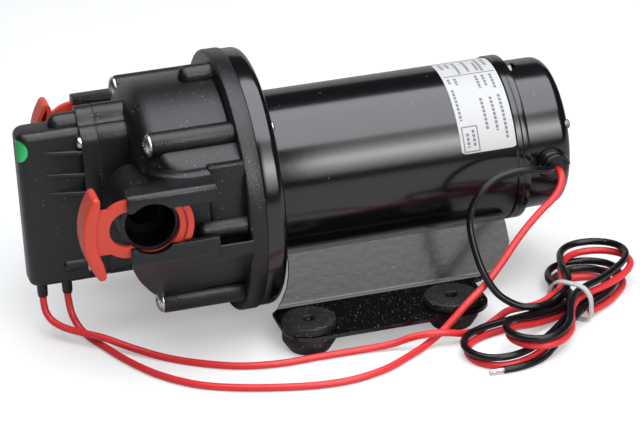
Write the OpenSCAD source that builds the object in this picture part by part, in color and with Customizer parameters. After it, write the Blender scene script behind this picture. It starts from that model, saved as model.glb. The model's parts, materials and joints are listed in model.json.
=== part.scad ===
// Caravan water pump: a diaphragm pump head with a pressure switch on its front, driven by a
// brushed motor that lies in a pressed base on four rubber feet.
// The motor axis runs along X, the pump head is at -X, the floor is at z = 0, and the origin is
// the middle of the four mounting holes. All sizes are in millimetres.

/* [Motor] */
// Height of the motor axis above the floor
axis_h = 56; // [53:0.5:62]
// Outer radius of the motor can
can_r = 33; // [31:0.25:35]
// Wall of the motor can
can_wall = 1.6; // [1:0.1:2.2]
// Length of the motor can
can_len = 105.3; // [100:0.1:125]
// Height of the turned rim at the rear of the can
rim_h = 0.6; // [0.3:0.1:1]
// Length of the turned rim
rim_len = 5; // [3:0.5:8]
// How much smaller in radius the end cap is than the can
cap_inset = 2.5; // [1.5:0.1:3.5]
// Length of the end cap behind the can
cap_len = 18.7; // [16:0.1:24]
// Rounding of the end cap's rear edge
cap_round = 4.5; // [2:0.25:5]
// Radius of the motor shaft
shaft_r = 4; // [3:0.25:4.5]
// Running clearance of the shaft in its bearings
shaft_clear = 0.04; // [0.02:0.01:0.08]
// Thickness of the field magnets
magnet_t = 4.8; // [3:0.1:6]
// Air gap between magnets and armature
air_gap = 0.8; // [0.5:0.1:1.5]
// Free length in front of the armature's windings
rotor_front = 10; // [6:0.5:16]
// Length of the windings beyond each end of the core
winding_len = 8; // [5:0.5:10]
// Length of the commutator
comm_len = 14; // [12:0.5:16]
// Radius of the commutator
comm_r = 9; // [7.5:0.25:10]
// Radius of the through bolts
bolt_r = 1.6; // [1.2:0.1:2]
// Width of the rating label along the can
label_w = 23; // [12:0.5:30]
// Angle that the label covers
label_deg = 88; // [40:1:110]

/* [Front cup] */
// Outer radius of the front cup
cup_r = 52; // [51.2:0.1:54]
// Length of the front cup
cup_len = 8.5; // [7.5:0.1:12]
// Thickness of the cup's web
cup_web = 4; // [3:0.1:5]
// Rounding of the cup's rear edge
cup_round = 4; // [1:0.25:5]

/* [Pump head] */
// Front face of the head's flange, from the middle of the mounting holes
flange_x = -51.6; // [-54:0.1:-50]
// Radius of the flange
flange_r = 52.7; // [52:0.1:56]
// Thickness of the flange
flange_t = 7.1; // [5:0.1:10]
// Outer radius of the bell
bell_r = 45.4; // [44.5:0.1:46.5]
// Wall of the bell
bell_wall = 3.4; // [2.8:0.1:4]
// Length of the bell in front of the flange
bell_len = 37; // [36:0.1:42]
// Rounding of the bell's front shoulder
bell_round = 10; // [6:0.5:10]
// Radius of the ring that the head screws stand on
screw_ring_r = 46.5; // [46:0.1:47]
// Radius of the head screws
screw_r = 2.1; // [1.6:0.1:2.4]
// Radius of the head screws' pan heads
screw_head_r = 4.5; // [3.5:0.1:4.9]
// Height of the pan heads
screw_head_h = 2.6; // [2:0.1:3.2]
// Radius of the screw bosses
boss_r = 4.9; // [4.4:0.1:5]
// Length of the screw bosses in front of the flange
boss_len = 32.4; // [28:0.1:34]

/* [Ports] */
// Distance of the ports' axis in front of the bell
port_fwd = 1.4; // [1:0.1:2]
// Height of the ports' axis above the motor axis
port_rise = 9.5; // [7:0.1:11]
// Radius of the port sockets' bore
port_r = 9.5; // [8:0.1:9.6]
// Wall of the port sockets
port_wall = 2.5; // [2:0.1:2.8]
// Distance of the sockets' mouth from the middle plane
mouth_y = 52.6; // [51.5:0.1:55]
// Depth of the port sockets
port_depth = 14; // [10:0.1:15]

/* [Port clips] */
// Thickness of the sliding clips
clip_t = 2.6; // [2:0.1:3.2]
// Clearance around the clips in their rails
clip_gap = 0.3; // [0.2:0.05:0.4]
// Travel from the open to the locked place
clip_throw = 9; // [8:0.1:9.5]
// Radius of the locking end of the keyhole
lock_r = 7.4; // [6.5:0.1:8]
// Radius of the open end of the keyhole
open_r = 11; // [10:0.1:11.2]
// Width of the ring round the locking end
clip_band = 4.1; // [3:0.1:4.5]
// Width of the bow behind the open end
bow_w = 5.4; // [4.5:0.1:6]
// Height of the finger grip
grip_h = 32.4; // [30:0.2:36]
// Depth of the finger grip
grip_d = 11.5; // [8:0.1:12]
// Bulge of the finger grip's front
grip_bulge = 7.5; // [6.5:0.1:8.5]
// Half height of the rails, outside
rail_half = 14.2; // [13.9:0.1:15]
// Thickness of the rails' shelves
rail_wall = 2; // [1.6:0.1:2.2]
// Thickness of the rails' front lips
lip_t = 2.7; // [2:0.1:3.2]
// Height of the rails' front lips
lip_h = 6.8; // [5.5:0.1:7]
// Length of the rails in front of the ports' axis
rail_fwd = 8.9; // [7:0.1:9.5]
// Length of the rails
rail_len = 34.4; // [31:0.1:36]

/* [Pressure switch] */
// Width of the switch's base and cover flange
switch_w = 24; // [23:0.2:25]
// Depth of the switch's base below the motor axis
switch_down = 29; // [27:0.5:31]
// Height of the switch's base above the motor axis
switch_up = 34.6; // [33:0.1:36]
// Length of the switch's base in front of the bell
switch_base = 11.3; // [10.5:0.1:12]
// Thickness of the gasket
gasket_t = 0.7; // [0.5:0.1:1]
// Thickness of the cover's flange
cover_flange_t = 6.1; // [5.4:0.1:7]
// Length of the cover's dome
dome_len = 24.6; // [24:0.1:28]
// Width of the cover's dome
dome_w = 15; // [14:0.1:16]
// Wall of the cover
cover_wall = 1.8; // [1.2:0.1:2.2]
// Rounding of the cover's upright edges
dome_round = 4.8; // [3:0.1:5]
// Radius of the cover screws
cover_screw_r = 1.3; // [1:0.1:1.4]
// Radius of the cover screws' heads
cover_screw_head = 2.4; // [2:0.1:2.5]
// Travel of the plunger
plunger_throw = 1; // [0.5:0.1:1.2]
// Radius of the lead sleeves
sleeve_r = 2.2; // [1.8:0.1:2.6]

/* [Drive] */
// Length of the drive housing
drive_len = 18.5; // [18:0.1:20]
// Thickness of the diaphragm
diaphragm_t = 3; // [2:0.1:3.4]
// Thickness of the valve plate
valve_t = 8; // [7:0.1:8.5]
// Radius of the pistons' ring
piston_ring_r = 20; // [18:0.2:21]
// Radius of the piston caps
piston_r = 7.5; // [6:0.1:8]
// Radius of the ball on the cam
ball_r = 8; // [7:0.1:8.5]

/* [Mounting base] */
// Thickness of the pressed sheet
sheet = 1.6; // [1.2:0.1:2]
// Half spacing of the mounting holes along the motor
foot_x = 29.4; // [26:0.2:32]
// Half spacing of the mounting holes across the motor
foot_y = 47.9; // [45:0.1:51]
// Radius of the rubber feet
foot_r = 10.8; // [9.5:0.1:11]
// Radius of the feet where they stand on the floor
sole_r = 8; // [6:0.1:9]
// Radius of the mounting holes
hole_r = 2.5; // [2:0.1:3.5]
// Height of the base plates' top above the floor
plate_top = 9.1; // [8:0.1:11]
// Thickness of the feet's top discs
foot_cap = 3.5; // [2.5:0.1:4.5]
// Angle of the saddle each side of straight down
saddle_deg = 52; // [46:1:60]
// Length of the saddle
saddle_len = 91; // [85:0.5:94]

/* [Leads] */
// Diameter of the leads
lead_d = 2.9; // [2.4:0.1:2.9]
// Height of one layer in the hank
layer_h = 3.4; // [3.35:0.01:3.5]
// Width of the cable tie
tie_w = 2.4; // [2:0.1:3.5]
// Length of the bare end
bare_len = 6; // [3:0.5:10]

/* [Hidden] */
$fn = 64;
// Clearance between pieces that are fitted together and don't move
fit = 0.1;
// Clearance between pieces that move past each other
run = 0.3;

// Places along the motor axis
x_fl1 = flange_x + flange_t;
x_cup1 = x_fl1 + cup_len;
x_can1 = x_cup1 + can_len;
x_cap1 = x_can1 + cap_len;
x_bell = flange_x - bell_len;
x_chamber = x_bell + bell_wall;
x_dia1 = x_fl1 - drive_len;
x_dia0 = x_dia1 - diaphragm_t;
x_valve = x_dia0 - valve_t;
x_boss = flange_x - boss_len;
x_pivot = x_dia1 + 10.5;

// Radii about the motor axis
can_ri = can_r - can_wall;
cap_r = can_r - cap_inset;
bolt_ring_r = can_ri - bolt_r - 1;
spigot_ri = bolt_ring_r - bolt_r - 0.4;
magnet_ro = can_ri - fit;
core_r = magnet_ro - magnet_t - air_gap;
cavity_r = bell_r - bell_wall;
chamber_r = cavity_r - 4;
stack_r = cavity_r - run;
divider_r = 16;
bearing_r = 2.75 * shaft_r;
bolt_deg = 3;

// Rotor: gap between windings and commutator, and the free length behind the commutator
rotor_gap = 4;
comm_back = 5.3;
core_len = can_len - rotor_front - 2 * winding_len - rotor_gap - comm_len - comm_back;
x_core = x_cup1 + rotor_front + winding_len;

// Bearings: width, shoulder behind the front one and floor under the rear one
bearing_w = 7;
bearing_back = 3;
bearing_lip = 1;
hub_wall = 2.5;

// Ports, rails and clips
x_port = x_bell - port_fwd;
z_port = axis_h + port_rise;
socket_r = port_r + port_wall;
clip_y = mouth_y + clip_gap;
lip_y = clip_y + clip_t + clip_gap;
rail_y = lip_y + lip_t;
lip_in = rail_half - lip_h;
clip_half = rail_half - rail_wall - clip_gap;
ring_r = lock_r + clip_band;
bow_r = open_r + bow_w;
x_rail = x_port - rail_fwd;
grip_x1 = -clip_throw - ring_r + 1;
grip_x0 = grip_x1 - grip_bulge;

// Pressure switch
x_base = x_bell - switch_base;
x_cover1 = x_base - gasket_t;
x_cover = x_cover1 - cover_flange_t;
x_dome = x_cover - dome_len;
z_sw0 = axis_h - switch_down;
z_sw1 = axis_h + switch_up;
z_plunger = axis_h + 1;
sensor_r = 8;
sensor_rim = 10.4;
sleeve_len = 8;
x_sleeves = [x_dome + 5.3, x_dome + 15.3];
micro_x0 = x_dome + cover_wall + 2;
micro_len = 13;
micro_x1 = micro_x0 + micro_len;
micro_z0 = z_plunger - 12;
cover_screw_y = switch_w / 2 - 2.5;
cover_screw_z = [z_sw0 + 5.3, z_sw1 - 5.9];

// Mounting base
saddle_ri = can_r + 0.05;
saddle_ro = saddle_ri + sheet;
saddle_x = -30;
plate_y0 = 28.5;
plate_y1 = foot_y + foot_r + 0.3;
plate_x0 = -foot_x - foot_r + 0.2;
plate_x1 = foot_x + foot_r + 3.8;
neck_r = foot_r - 2.8;

// Grommet in the end cap
grommet_x = x_can1 + 9.2;
grommet_y = 35.5;
grommet_z = axis_h - 1.4;

// Hank of the leads: place of the tie, its heading and how the runs bow
hank_x = 75;
hank_y = -61.5;
hank_turn = 41;
hank_bow = 0.36;
hank_first = 84;
hank_red_end = 985;
hank_black_end = 1000;
// Loops at the two ends of the hank: reach, belly and how far each one is turned aside
right_loops = [[48, 28, 5], [36, 21, 11], [43, 29, 11]];
left_loops = [[43, 24, 11], [54, 28, -6]];

// Routes of the free leads, from one end to the other
supply_route = [
    [-126, 0, 18], [-126, 0, 15], [-125.6, -1.4, 11.2], [-123.6, -4.4, 8.2], [-119.4, -8.8, 6.4],
    [-113, -14.8, 5.8], [-106, -21.2, 5.2], [-97, -29, 3], [-86, -39, 1.5], [-74, -49, 1.5],
    [-60, -57, 1.5], [-45, -60.5, 1.5], [-29, -60.5, 1.5], [-12, -60.8, 1.5], [0, -62.4, 2.6],
    [8, -64.6, 5.2], [15, -66.6, 6.4], [22, -66.9, 5.6], [29, -65.4, 3.4], [36.5, -62.6, 2.4],
    [43, -60.6, 4.3], [48.5, -60.9, 7.6], [53.5, -62, 8.6], [58.2, -62.6, 9]];
link_route = [
    [79.6, -35.5, 53.6], [79.6, -38.5, 53.5], [79, -41.8, 52.3], [77.2, -44.6, 49.8],
    [73.6, -46.4, 46.2], [68, -47.8, 42.4], [61.5, -49.8, 37.6], [55, -52.2, 32], [48, -55.2, 25.4],
    [40.5, -58.2, 19.4], [33, -60.5, 14.6], [26, -62, 9], [20, -63.4, 4.6], [13, -66.4, 1.9],
    [4, -72.6, 1.5], [-8, -80, 1.5], [-22, -84, 1.5], [-36, -83.5, 1.5], [-50, -80, 1.5],
    [-65, -74.5, 1.5], [-79, -66.5, 1.5], [-91, -53.5, 1.5], [-100, -37.5, 1.5], [-106, -22.5, 1.5],
    [-110.2, -11.8, 1.7], [-113.4, -5.8, 4.2], [-115.4, -1.8, 9], [-116, 0, 15], [-116, 0, 18]];
return_route = [
    [76.2, -35.5, 55.6], [75.9, -38.6, 55.8], [74.6, -41.8, 56.5], [71.8, -44.6, 57.9], [67.6, -46.3, 59.5],
    [62.6, -47, 60.6], [56.5, -47.4, 60.8], [49.6, -47.8, 59.3], [43, -48.6, 54.9], [38.6, -49.6, 48.8],
    [37.2, -51.2, 42.8], [37.4, -55, 35.2], [39.2, -60, 26], [44, -63.4, 17], [51.6, -65.7, 11.6],
    [59, -66.2, 10.2]];
tail_route = [[65.2, -80.8, 4.6], [58.6, -87.6, 3], [52.4, -92.4, 1.6], [46, -95.7, 1.5],
    [40, -97.1, 1.5], [34.5, -97.2, 1.5]];

// Colours
gloss_black = [0.06, 0.06, 0.065];
satin_black = [0.1, 0.1, 0.11];
clip_red = [0.86, 0.3, 0.22];
steel = [0.78, 0.77, 0.75];
copper = [0.72, 0.43, 0.25];
lead_red = [0.88, 0.16, 0.2];
lead_black = [0.05, 0.05, 0.06];
rubber_black = [0.07, 0.07, 0.07];

// Points on an arc in a plane
function arc(cx, cy, r, a0, a1, n = 8) =
    [for (i = [0:n]) [cx + r * cos(a0 + (a1 - a0) * i / n), cy + r * sin(a0 + (a1 - a0) * i / n)]];
function unit(v) = v / norm(v);

// A flat outline, drawn in y and z, carried along X
module along_x(x0, x1) {
    translate([x0, 0, 0]) rotate([90, 0, 90]) linear_extrude(x1 - x0) children();
}

// A flat outline, drawn in x and z, carried along Y
module along_y(y0, y1) {
    translate([0, y1, 0]) rotate([90, 0, 0]) linear_extrude(y1 - y0) children();
}

// A flat outline, drawn in x and y, carried along Z
module along_z(z0, z1) {
    translate([0, 0, z0]) linear_extrude(z1 - z0) children();
}

// Round rods along each axis
module rod_x(x0, x1, y, z, r) {
    translate([x0, y, z]) rotate([0, 90, 0]) cylinder(h = x1 - x0, r = r);
}
module rod_y(y0, y1, x, z, r) {
    translate([x, y1, z]) rotate([90, 0, 0]) cylinder(h = y1 - y0, r = r);
}
module rod_z(z0, z1, x, y, r) {
    translate([x, y, z0]) cylinder(h = z1 - z0, r = r);
}

// A piece turned about the motor axis, from points of radius and x
module turned(points) {
    translate([0, 0, axis_h]) rotate([0, 90, 0]) rotate_extrude() polygon(points);
}

// A plain tube about the motor axis
module tube_x(x0, x1, ro, ri) {
    turned([[ri, x0], [ro, x0], [ro, x1], [ri, x1]]);
}

// Children at an angle about the motor axis, measured from straight up towards -Y
module at_angle(deg) {
    translate([0, 0, axis_h]) rotate([deg, 0, 0]) translate([0, 0, -axis_h]) children();
}

// A wedge about the motor axis, used to cut arcs
module wedge(x0, x1, from, to, r) {
    along_x(x0, x1) translate([0, axis_h])
        polygon(concat([[0, 0]], [for (i = [0:6]) let (a = from + (to - from) * i / 6)
            [-r * sin(a), r * cos(a)]]));
}

// A rectangle with round corners
module round_rect(x0, y0, x1, y1, r) {
    translate([x0 + r, y0]) square([x1 - x0 - 2 * r, y1 - y0]);
    translate([x0, y0 + r]) square([x1 - x0, y1 - y0 - 2 * r]);
    for (x = [x0 + r, x1 - r], y = [y0 + r, y1 - r]) translate([x, y]) circle(r);
}

// A tube swept along points, closed at both ends
module swept(p, r, sides) {
    n = len(p);
    t = [for (i = [0:n - 1]) unit(p[min(i + 1, n - 1)] - p[max(i - 1, 0)])];
    first = unit(cross(t[0], abs(t[0][0]) < 0.9 ? [1, 0, 0] : [0, 1, 0]));
    normals = [for (i = 0, v = first; i < n;
        i = i + 1, v = i < n ? unit(v - (v * t[i]) * t[i]) : v) v];
    ring = [for (i = [0:n - 1], j = [0:sides - 1]) let (a = 360 * j / sides)
        p[i] + r * (cos(a) * normals[i] + sin(a) * cross(t[i], normals[i]))];
    walls = [for (i = [0:n - 2], j = [0:sides - 1]) let (k = (j + 1) % sides, q = (i + 1) * sides)
        each [[i * sides + j, q + j, q + k], [i * sides + j, q + k, i * sides + k]]];
    ends = [for (j = [1:sides - 2]) each [[0, j, j + 1],
        [(n - 1) * sides, (n - 1) * sides + j + 1, (n - 1) * sides + j]]];
    polyhedron(ring, concat(walls, ends));
}

// One point of the hank at a turn of a degrees; black is 1 for the black lead, 0 for the red one
function ease(t) = let (v = max(0, min(1, t))) v * v * (3 - 2 * v);
function hank_point(a, black) =
    let (c = -cos(a),
        loop = c > 0 ? right_loops[a < 360 ? 0 : a < 720 ? 1 : 2] : left_loops[a < 540 ? 0 : 1],
        waist = lookup(a, [[90, 6.9 - 3.5 * black], [270, 3.4], [450, 1.8], [630, 1.8], [810, 6.2], [990, 6]]),
        s = (loop[0] + black) * c,
        u = (waist + (loop[1] - waist) * 1.45 * c * c / (abs(c) + 0.45)) * sin(a),
        aside = (loop[2] + black * (c > 0 ? 3 : -1)) * ease(abs(s) / 26),
        k = hank_bow * PI / 180,
        h = hank_turn + hank_bow * s,
        x = (sin(h) - sin(hank_turn)) / k - u * sin(h),
        y = (cos(hank_turn) - cos(h)) / k + u * cos(h),
        layer = 2 - 2 * ease((a - 395) / 51) + black * ease((a - 70) / 46),
        z = lead_d / 2 + layer * layer_h + 1.3 * exp(-pow(s / 16, 2)))
    [hank_x + x * cos(aside) - y * sin(aside), hank_y + x * sin(aside) + y * cos(aside), z];
function hank_path(last, black, step) =
    let (n = ceil((last - hank_first) / step))
    [for (i = [0:n]) hank_point(hank_first + (last - hank_first) * i / n, black)];
function hank_heading(a, black) = unit(hank_point(a + 1, black) - hank_point(a - 1, black));

// Least gap between the hank's own turns, and between the red and the black one
function own_gap(p, apart) = min([for (i = [0:len(p) - 1]) each
    [for (j = [i + apart:1:len(p) - 1]) norm(p[i] - p[j])]]) - lead_d;
function pair_gap(p, q) = min([for (a = p) each [for (b = q) norm(a - b)]]) - lead_d;
function run_length(p) = [for (i = [1:len(p) - 1]) norm(p[i] - p[i - 1])] * [for (i = [1:len(p) - 1]) 1];
red_fine = hank_path(hank_red_end, 0, 4);
black_fine = hank_path(hank_black_end, 1, 4);
echo(red_gap = own_gap(red_fine, 30), black_gap = own_gap(black_fine, 30),
    between = pair_gap(red_fine, black_fine));
supply_end = concat(supply_route, [hank_point(hank_first, 0) - 5 * hank_heading(hank_first, 0),
    hank_point(hank_first, 0)]);
return_end = concat(return_route, [hank_point(hank_first, 1) - 4 * hank_heading(hank_first, 1),
    hank_point(hank_first, 1)]);
tail_start = concat([hank_point(hank_black_end, 1), hank_point(hank_black_end, 1)
    + 3 * hank_heading(hank_black_end, 1)], tail_route);
echo(supply = run_length(supply_end), link = run_length(link_route), black = run_length(return_end),
    tail = run_length(tail_start), red_hank = run_length(red_fine), black_hank = run_length(black_fine));

// Motor

module motor_can() {
    color(gloss_black) turned([[can_ri, x_cup1], [can_r, x_cup1], [can_r, x_can1 - rim_len],
        [can_r + rim_h, x_can1 - rim_len + rim_h], [can_r + rim_h, x_can1], [can_ri, x_can1]]);
}

module motor_end_cap() {
    boss_x = x_can1 + 4.7;
    color(gloss_black) difference() {
        union() {
            turned(concat([[spigot_ri, x_can1 - 3.3], [can_ri - fit, x_can1 - 3.3], [can_ri - fit, x_can1],
                [cap_r, x_can1]], arc(cap_r - cap_round, x_cap1 - cap_round, cap_round, 0, 90),
                [[0, x_cap1], [0, x_cap1 - 2.5], [bearing_r, x_cap1 - 2.5], [bearing_r, boss_x],
                [bearing_r + 3, boss_x], [bearing_r + 3, x_cap1 - 5], [spigot_ri, x_cap1 - 5]]));
            rod_x(x_cap1 - cap_round, x_cap1 + 1, -cap_r * 0.82, axis_h + cap_r * 0.39, 2);
        }
        for (a = [0, 180]) at_angle(bolt_deg + a) {
            rod_x(x_can1 - 4, x_can1 + 1, 0, axis_h + bolt_ring_r, bolt_r + fit);
            rod_x(x_can1 + 0.4, x_can1 + 4.6, 0, axis_h + bolt_ring_r, bolt_r * 2);
        }
        grommet_hole(fit);
    }
}

// Round hole that the grommet fills in the end cap's wall
module grommet_hole(gap) {
    rod_y(-cap_r - 2, -spigot_ri + 4, grommet_x, grommet_z, 5 + gap);
}

module lead_grommet() {
    color(rubber_black) union() {
        intersection() {
            grommet_hole(0);
            tube_x(grommet_x - 8, grommet_x + 8, cap_r + 3, spigot_ri + 0.5);
        }
        rod_y(-grommet_y, -cap_r - 0.2, grommet_x, grommet_z, 6.5);
        intersection() {
            difference() {
                rod_y(-grommet_y - 2.5, -grommet_y + 1, grommet_x, grommet_z, 6);
                rod_y(-grommet_y - 3, -grommet_y, grommet_x, grommet_z, 4.4);
            }
            translate([grommet_x - 7, -grommet_y - 3, grommet_z + 1]) cube([14, 6, 7]);
        }
    }
}

module field_magnets() {
    x0 = x_core - 2;
    color([0.25, 0.25, 0.27]) for (a = [90, 270]) at_angle(a) intersection() {
        tube_x(x0, x0 + core_len + 4, magnet_ro, magnet_ro - magnet_t);
        wedge(x0 - 1, x0 + core_len + 5, -62, 62, 2.4 * can_r);
    }
}

module armature_core() {
    color(steel) tube_x(x_core, x_core + core_len, core_r, shaft_r);
}

module armature_windings() {
    color(copper) for (x = [x_core - winding_len, x_core + core_len])
        tube_x(x, x + winding_len, core_r - 4, shaft_r);
}

module commutator() {
    x1 = x_can1 - comm_back;
    color(copper) tube_x(x1 - comm_len, x1, comm_r, shaft_r);
}

module motor_shaft() {
    color(steel) rod_x(x_pivot - 6.5, x_cap1 - 3, 0, axis_h, shaft_r);
}

module front_bearing() {
    x1 = x_cup1 - bearing_back;
    color(steel) tube_x(x1 - bearing_w, x1, bearing_r - fit / 2, shaft_r + shaft_clear);
}

module rear_bearing() {
    color(steel) tube_x(x_cap1 - 10, x_cap1 - 3.2, bearing_r - fit / 2, shaft_r + shaft_clear);
}

module brush_holder() {
    x1 = x_can1 - 1.3;
    color([0.45, 0.3, 0.15]) difference() {
        union() {
            tube_x(x1 - 2.5, x1 + 0.9, spigot_ri - fit, comm_r + 3);
            for (s = [-1, 1]) translate([x1 - 14.5, -4, s > 0 ? axis_h + comm_r + 2 : axis_h - comm_r - 14])
                cube([13, 8, 12]);
        }
        for (s = [-1, 1]) translate([x1 - 13, -2.6, s > 0 ? axis_h + comm_r : axis_h - comm_r - 13])
            cube([5.2, 5.2, 13]);
    }
}

module brushes() {
    x1 = x_can1 - 1.3;
    color([0.2, 0.2, 0.2]) for (s = [-1, 1])
        translate([x1 - 12.9, -2.5, s > 0 ? axis_h + comm_r + 0.1 : axis_h - comm_r - 8.1])
            cube([5, 5, 8]);
}

module brush_springs() {
    x1 = x_can1 - 1.3;
    color(steel) for (s = [-1, 1]) difference() {
        rod_z(s > 0 ? axis_h + comm_r + 8.2 : axis_h - comm_r - 12.9,
            s > 0 ? axis_h + comm_r + 12.9 : axis_h - comm_r - 8.2, x1 - 10.4, 0, 2);
        rod_z(axis_h - 40, axis_h + 40, x1 - 10.4, 0, 1.4);
    }
}

module through_bolts() {
    color(steel) for (a = [0, 180]) at_angle(bolt_deg + a) {
        rod_x(x_cup1 - 3, x_can1 + 0.5, 0, axis_h + bolt_ring_r, bolt_r);
        rod_x(x_can1 + 0.5, x_can1 + 2.6, 0, axis_h + bolt_ring_r, bolt_r * 1.75);
    }
}

module rating_label() {
    x1 = x_can1 - rim_len - 0.3;
    color([0.93, 0.93, 0.92]) intersection() {
        tube_x(x1 - label_w, x1, can_r + 0.2, can_r + 0.03);
        wedge(x1 - label_w - 1, x1 + 1, -13, label_deg - 13, 2 * can_r);
    }
}

module front_cup() {
    hub_x = x_cup1 - bearing_back - bearing_w - bearing_lip;
    color(gloss_black) difference() {
        turned(concat([[cavity_r, x_fl1], [cup_r, x_fl1]],
            arc(cup_r - cup_round, x_cup1 - cup_round, cup_round, 0, 90),
            [[shaft_r + 3, x_cup1], [shaft_r + 3, x_cup1 - bearing_back], [bearing_r, x_cup1 - bearing_back],
            [bearing_r, hub_x],
            [bearing_r + hub_wall, hub_x], [bearing_r + hub_wall, x_cup1 - cup_web],
            [cavity_r, x_cup1 - cup_web]]));
        for (a = [45:90:315]) at_angle(a)
            rod_x(x_fl1 - 1, x_cup1 + 1, 0, axis_h + screw_ring_r, screw_r + fit);
        for (a = [0, 180]) at_angle(bolt_deg + a)
            rod_x(x_cup1 - cup_web - 1, x_cup1 + 1, 0, axis_h + bolt_ring_r, bolt_r + fit);
    }
}

// Drive

module drive_cam() {
    color(steel) intersection() {
        difference() {
            translate([x_pivot, 0, axis_h]) sphere(ball_r);
            rod_x(x_pivot - 10, x_pivot + 10, 0, axis_h, shaft_r);
        }
        tube_x(x_pivot - 4.5, x_pivot + 4.5, ball_r + 1, shaft_r - 1);
    }
}

module cam_bearing() {
    color(steel) difference() {
        tube_x(x_pivot - 3, x_pivot + 3, ball_r + 4, ball_r - 2);
        translate([x_pivot, 0, axis_h]) sphere(ball_r + 0.08);
    }
}

module wobble_plate() {
    x0 = x_pivot - 4;
    color([0.3, 0.3, 0.32]) difference() {
        union() {
            tube_x(x0, x0 + 6, piston_ring_r + 5, ball_r + 4 + fit);
            for (a = [0, 120, 240]) at_angle(a)
                rod_x(x_dia1, x0 + 1, 0, axis_h + piston_ring_r, piston_r - 2);
        }
        for (a = [0, 120, 240]) at_angle(a)
            rod_x(x_dia1 - 1, x0 + 7, 0, axis_h + piston_ring_r, 1.2 + fit);
    }
}

module piston_caps() {
    color([0.3, 0.3, 0.32]) for (a = [0, 120, 240]) at_angle(a) difference() {
        rod_x(x_dia0 - 2.2, x_dia1, 0, axis_h + piston_ring_r, piston_r);
        rod_x(x_dia0 - 3, x_dia1 + 1, 0, axis_h + piston_ring_r, 1.2 + fit);
    }
}

module piston_screws() {
    color(steel) for (a = [0, 120, 240]) at_angle(a) {
        rod_x(x_dia0 - 2.2, x_pivot, 0, axis_h + piston_ring_r, 1.2);
        rod_x(x_dia0 - 3, x_dia0 - 2.2, 0, axis_h + piston_ring_r, 2.4);
    }
}

module diaphragm() {
    color(rubber_black) difference() {
        rod_x(x_dia0, x_dia1, 0, axis_h, stack_r);
        for (a = [0, 120, 240]) at_angle(a)
            rod_x(x_dia0 - 1, x_dia1 + 1, 0, axis_h + piston_ring_r, piston_r + 1.6);
    }
}

module drive_housing() {
    color([0.2, 0.2, 0.21]) tube_x(x_dia1, x_fl1, stack_r, chamber_r);
}

module valve_plate() {
    color([0.75, 0.74, 0.7]) difference() {
        rod_x(x_valve, x_dia0, 0, axis_h, stack_r);
        for (a = [0, 120, 240]) at_angle(a) {
            rod_x(x_valve + 2.6, x_dia0 + 1, 0, axis_h + piston_ring_r, piston_r + 2);
            rod_x(x_valve - 1, x_valve + 4, 0, axis_h + piston_ring_r + 3, 1);
            for (b = [-1, 1]) rod_x(x_valve - 1, x_valve + 4, 3 * b, axis_h + piston_ring_r + 3, 1.1);
            rod_x(x_valve - 1, x_valve + 4, 0, axis_h + piston_ring_r - piston_r, 1.4);
        }
        rod_x(x_valve - 1, x_valve + 4, 0, axis_h, 1.6);
    }
}

module inlet_valves() {
    color(rubber_black) for (a = [0, 120, 240]) at_angle(a) {
        rod_x(x_valve + 2.6, x_valve + 3.2, 0, axis_h + piston_ring_r + 3, 5);
        rod_x(x_valve - 1.2, x_valve + 2.6, 0, axis_h + piston_ring_r + 3, 1 - fit);
    }
}

module outlet_valve() {
    color(rubber_black) {
        rod_x(x_valve - 0.8, x_valve, 0, axis_h, divider_r - 2.6);
        rod_x(x_valve, x_valve + 3.8, 0, axis_h, 1.6 - fit);
    }
}

// Pump head

module switch_outline(inset) {
    round_rect(-switch_w / 2 + inset, z_sw0 + inset, switch_w / 2 - inset, z_sw1 - inset, 4);
    translate([0, z_sw1]) circle(5.6 - inset);
}

// Socket, rails, lips, flat cheek and web of the port at -Y
module port_side() {
    z0 = z_port - rail_half;
    z1 = z_port + rail_half;
    foot_in = screw_ring_r * cos(45);
    cheek_y = bell_r + 0.9;
    difference() {
        union() {
            for (z = [z0, z1 - rail_wall]) translate([x_rail, -rail_y, z])
                cube([rail_len, rail_y - bell_r, rail_wall]);
            for (z = [z0, z1 - lip_h]) translate([x_rail, -rail_y, z]) cube([rail_len, lip_t, lip_h]);
            translate([x_port - 5, -mouth_y, z_port - rail_half + 1])
                cube([10, mouth_y - bell_r, 2 * rail_half - 2]);
            translate([flange_x - 13.4, -bell_r - 2.2, axis_h - 6]) cube([14.4, 6, 33.2]);
            rod_y(-mouth_y, -8, x_port, z_port, socket_r);
            intersection() {
                along_z(axis_h - 7, axis_h + 33) polygon(concat([[x_bell + 5.6, -30], [flange_x + 1, -30],
                    [flange_x + 1, -cheek_y]], arc(x_bell + 13.6, -cheek_y + 8, 8, 270, 180)));
                along_x(x_bell, flange_x + 1) polygon([[-cheek_y, axis_h - 7], [-cheek_y, axis_h + 26.3],
                    [-cheek_y + 8.3, axis_h + 32.5], [-30, axis_h + 32.5], [-30, axis_h - 7]]);
            }
            intersection() {
                along_x(x_rail, flange_x + 1) polygon([[-rail_y, z0], [-rail_y + lip_t, z0 + rail_wall],
                    [-foot_in - 2.1, axis_h - foot_in + 8.1], [-foot_in - 5.7, axis_h - foot_in + 5.4]]);
                along_y(-rail_y, -20) polygon([[x_rail, z0 + 3], [flange_x + 1, z0 + 3],
                    [flange_x + 1, axis_h - foot_in - 3], [x_boss, axis_h - foot_in - 3], [x_rail, z0]]);
            }
        }
        rod_y(-rail_y - 1, -mouth_y - 0.01, x_port, z_port, open_r - 1);
    }
}

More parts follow.
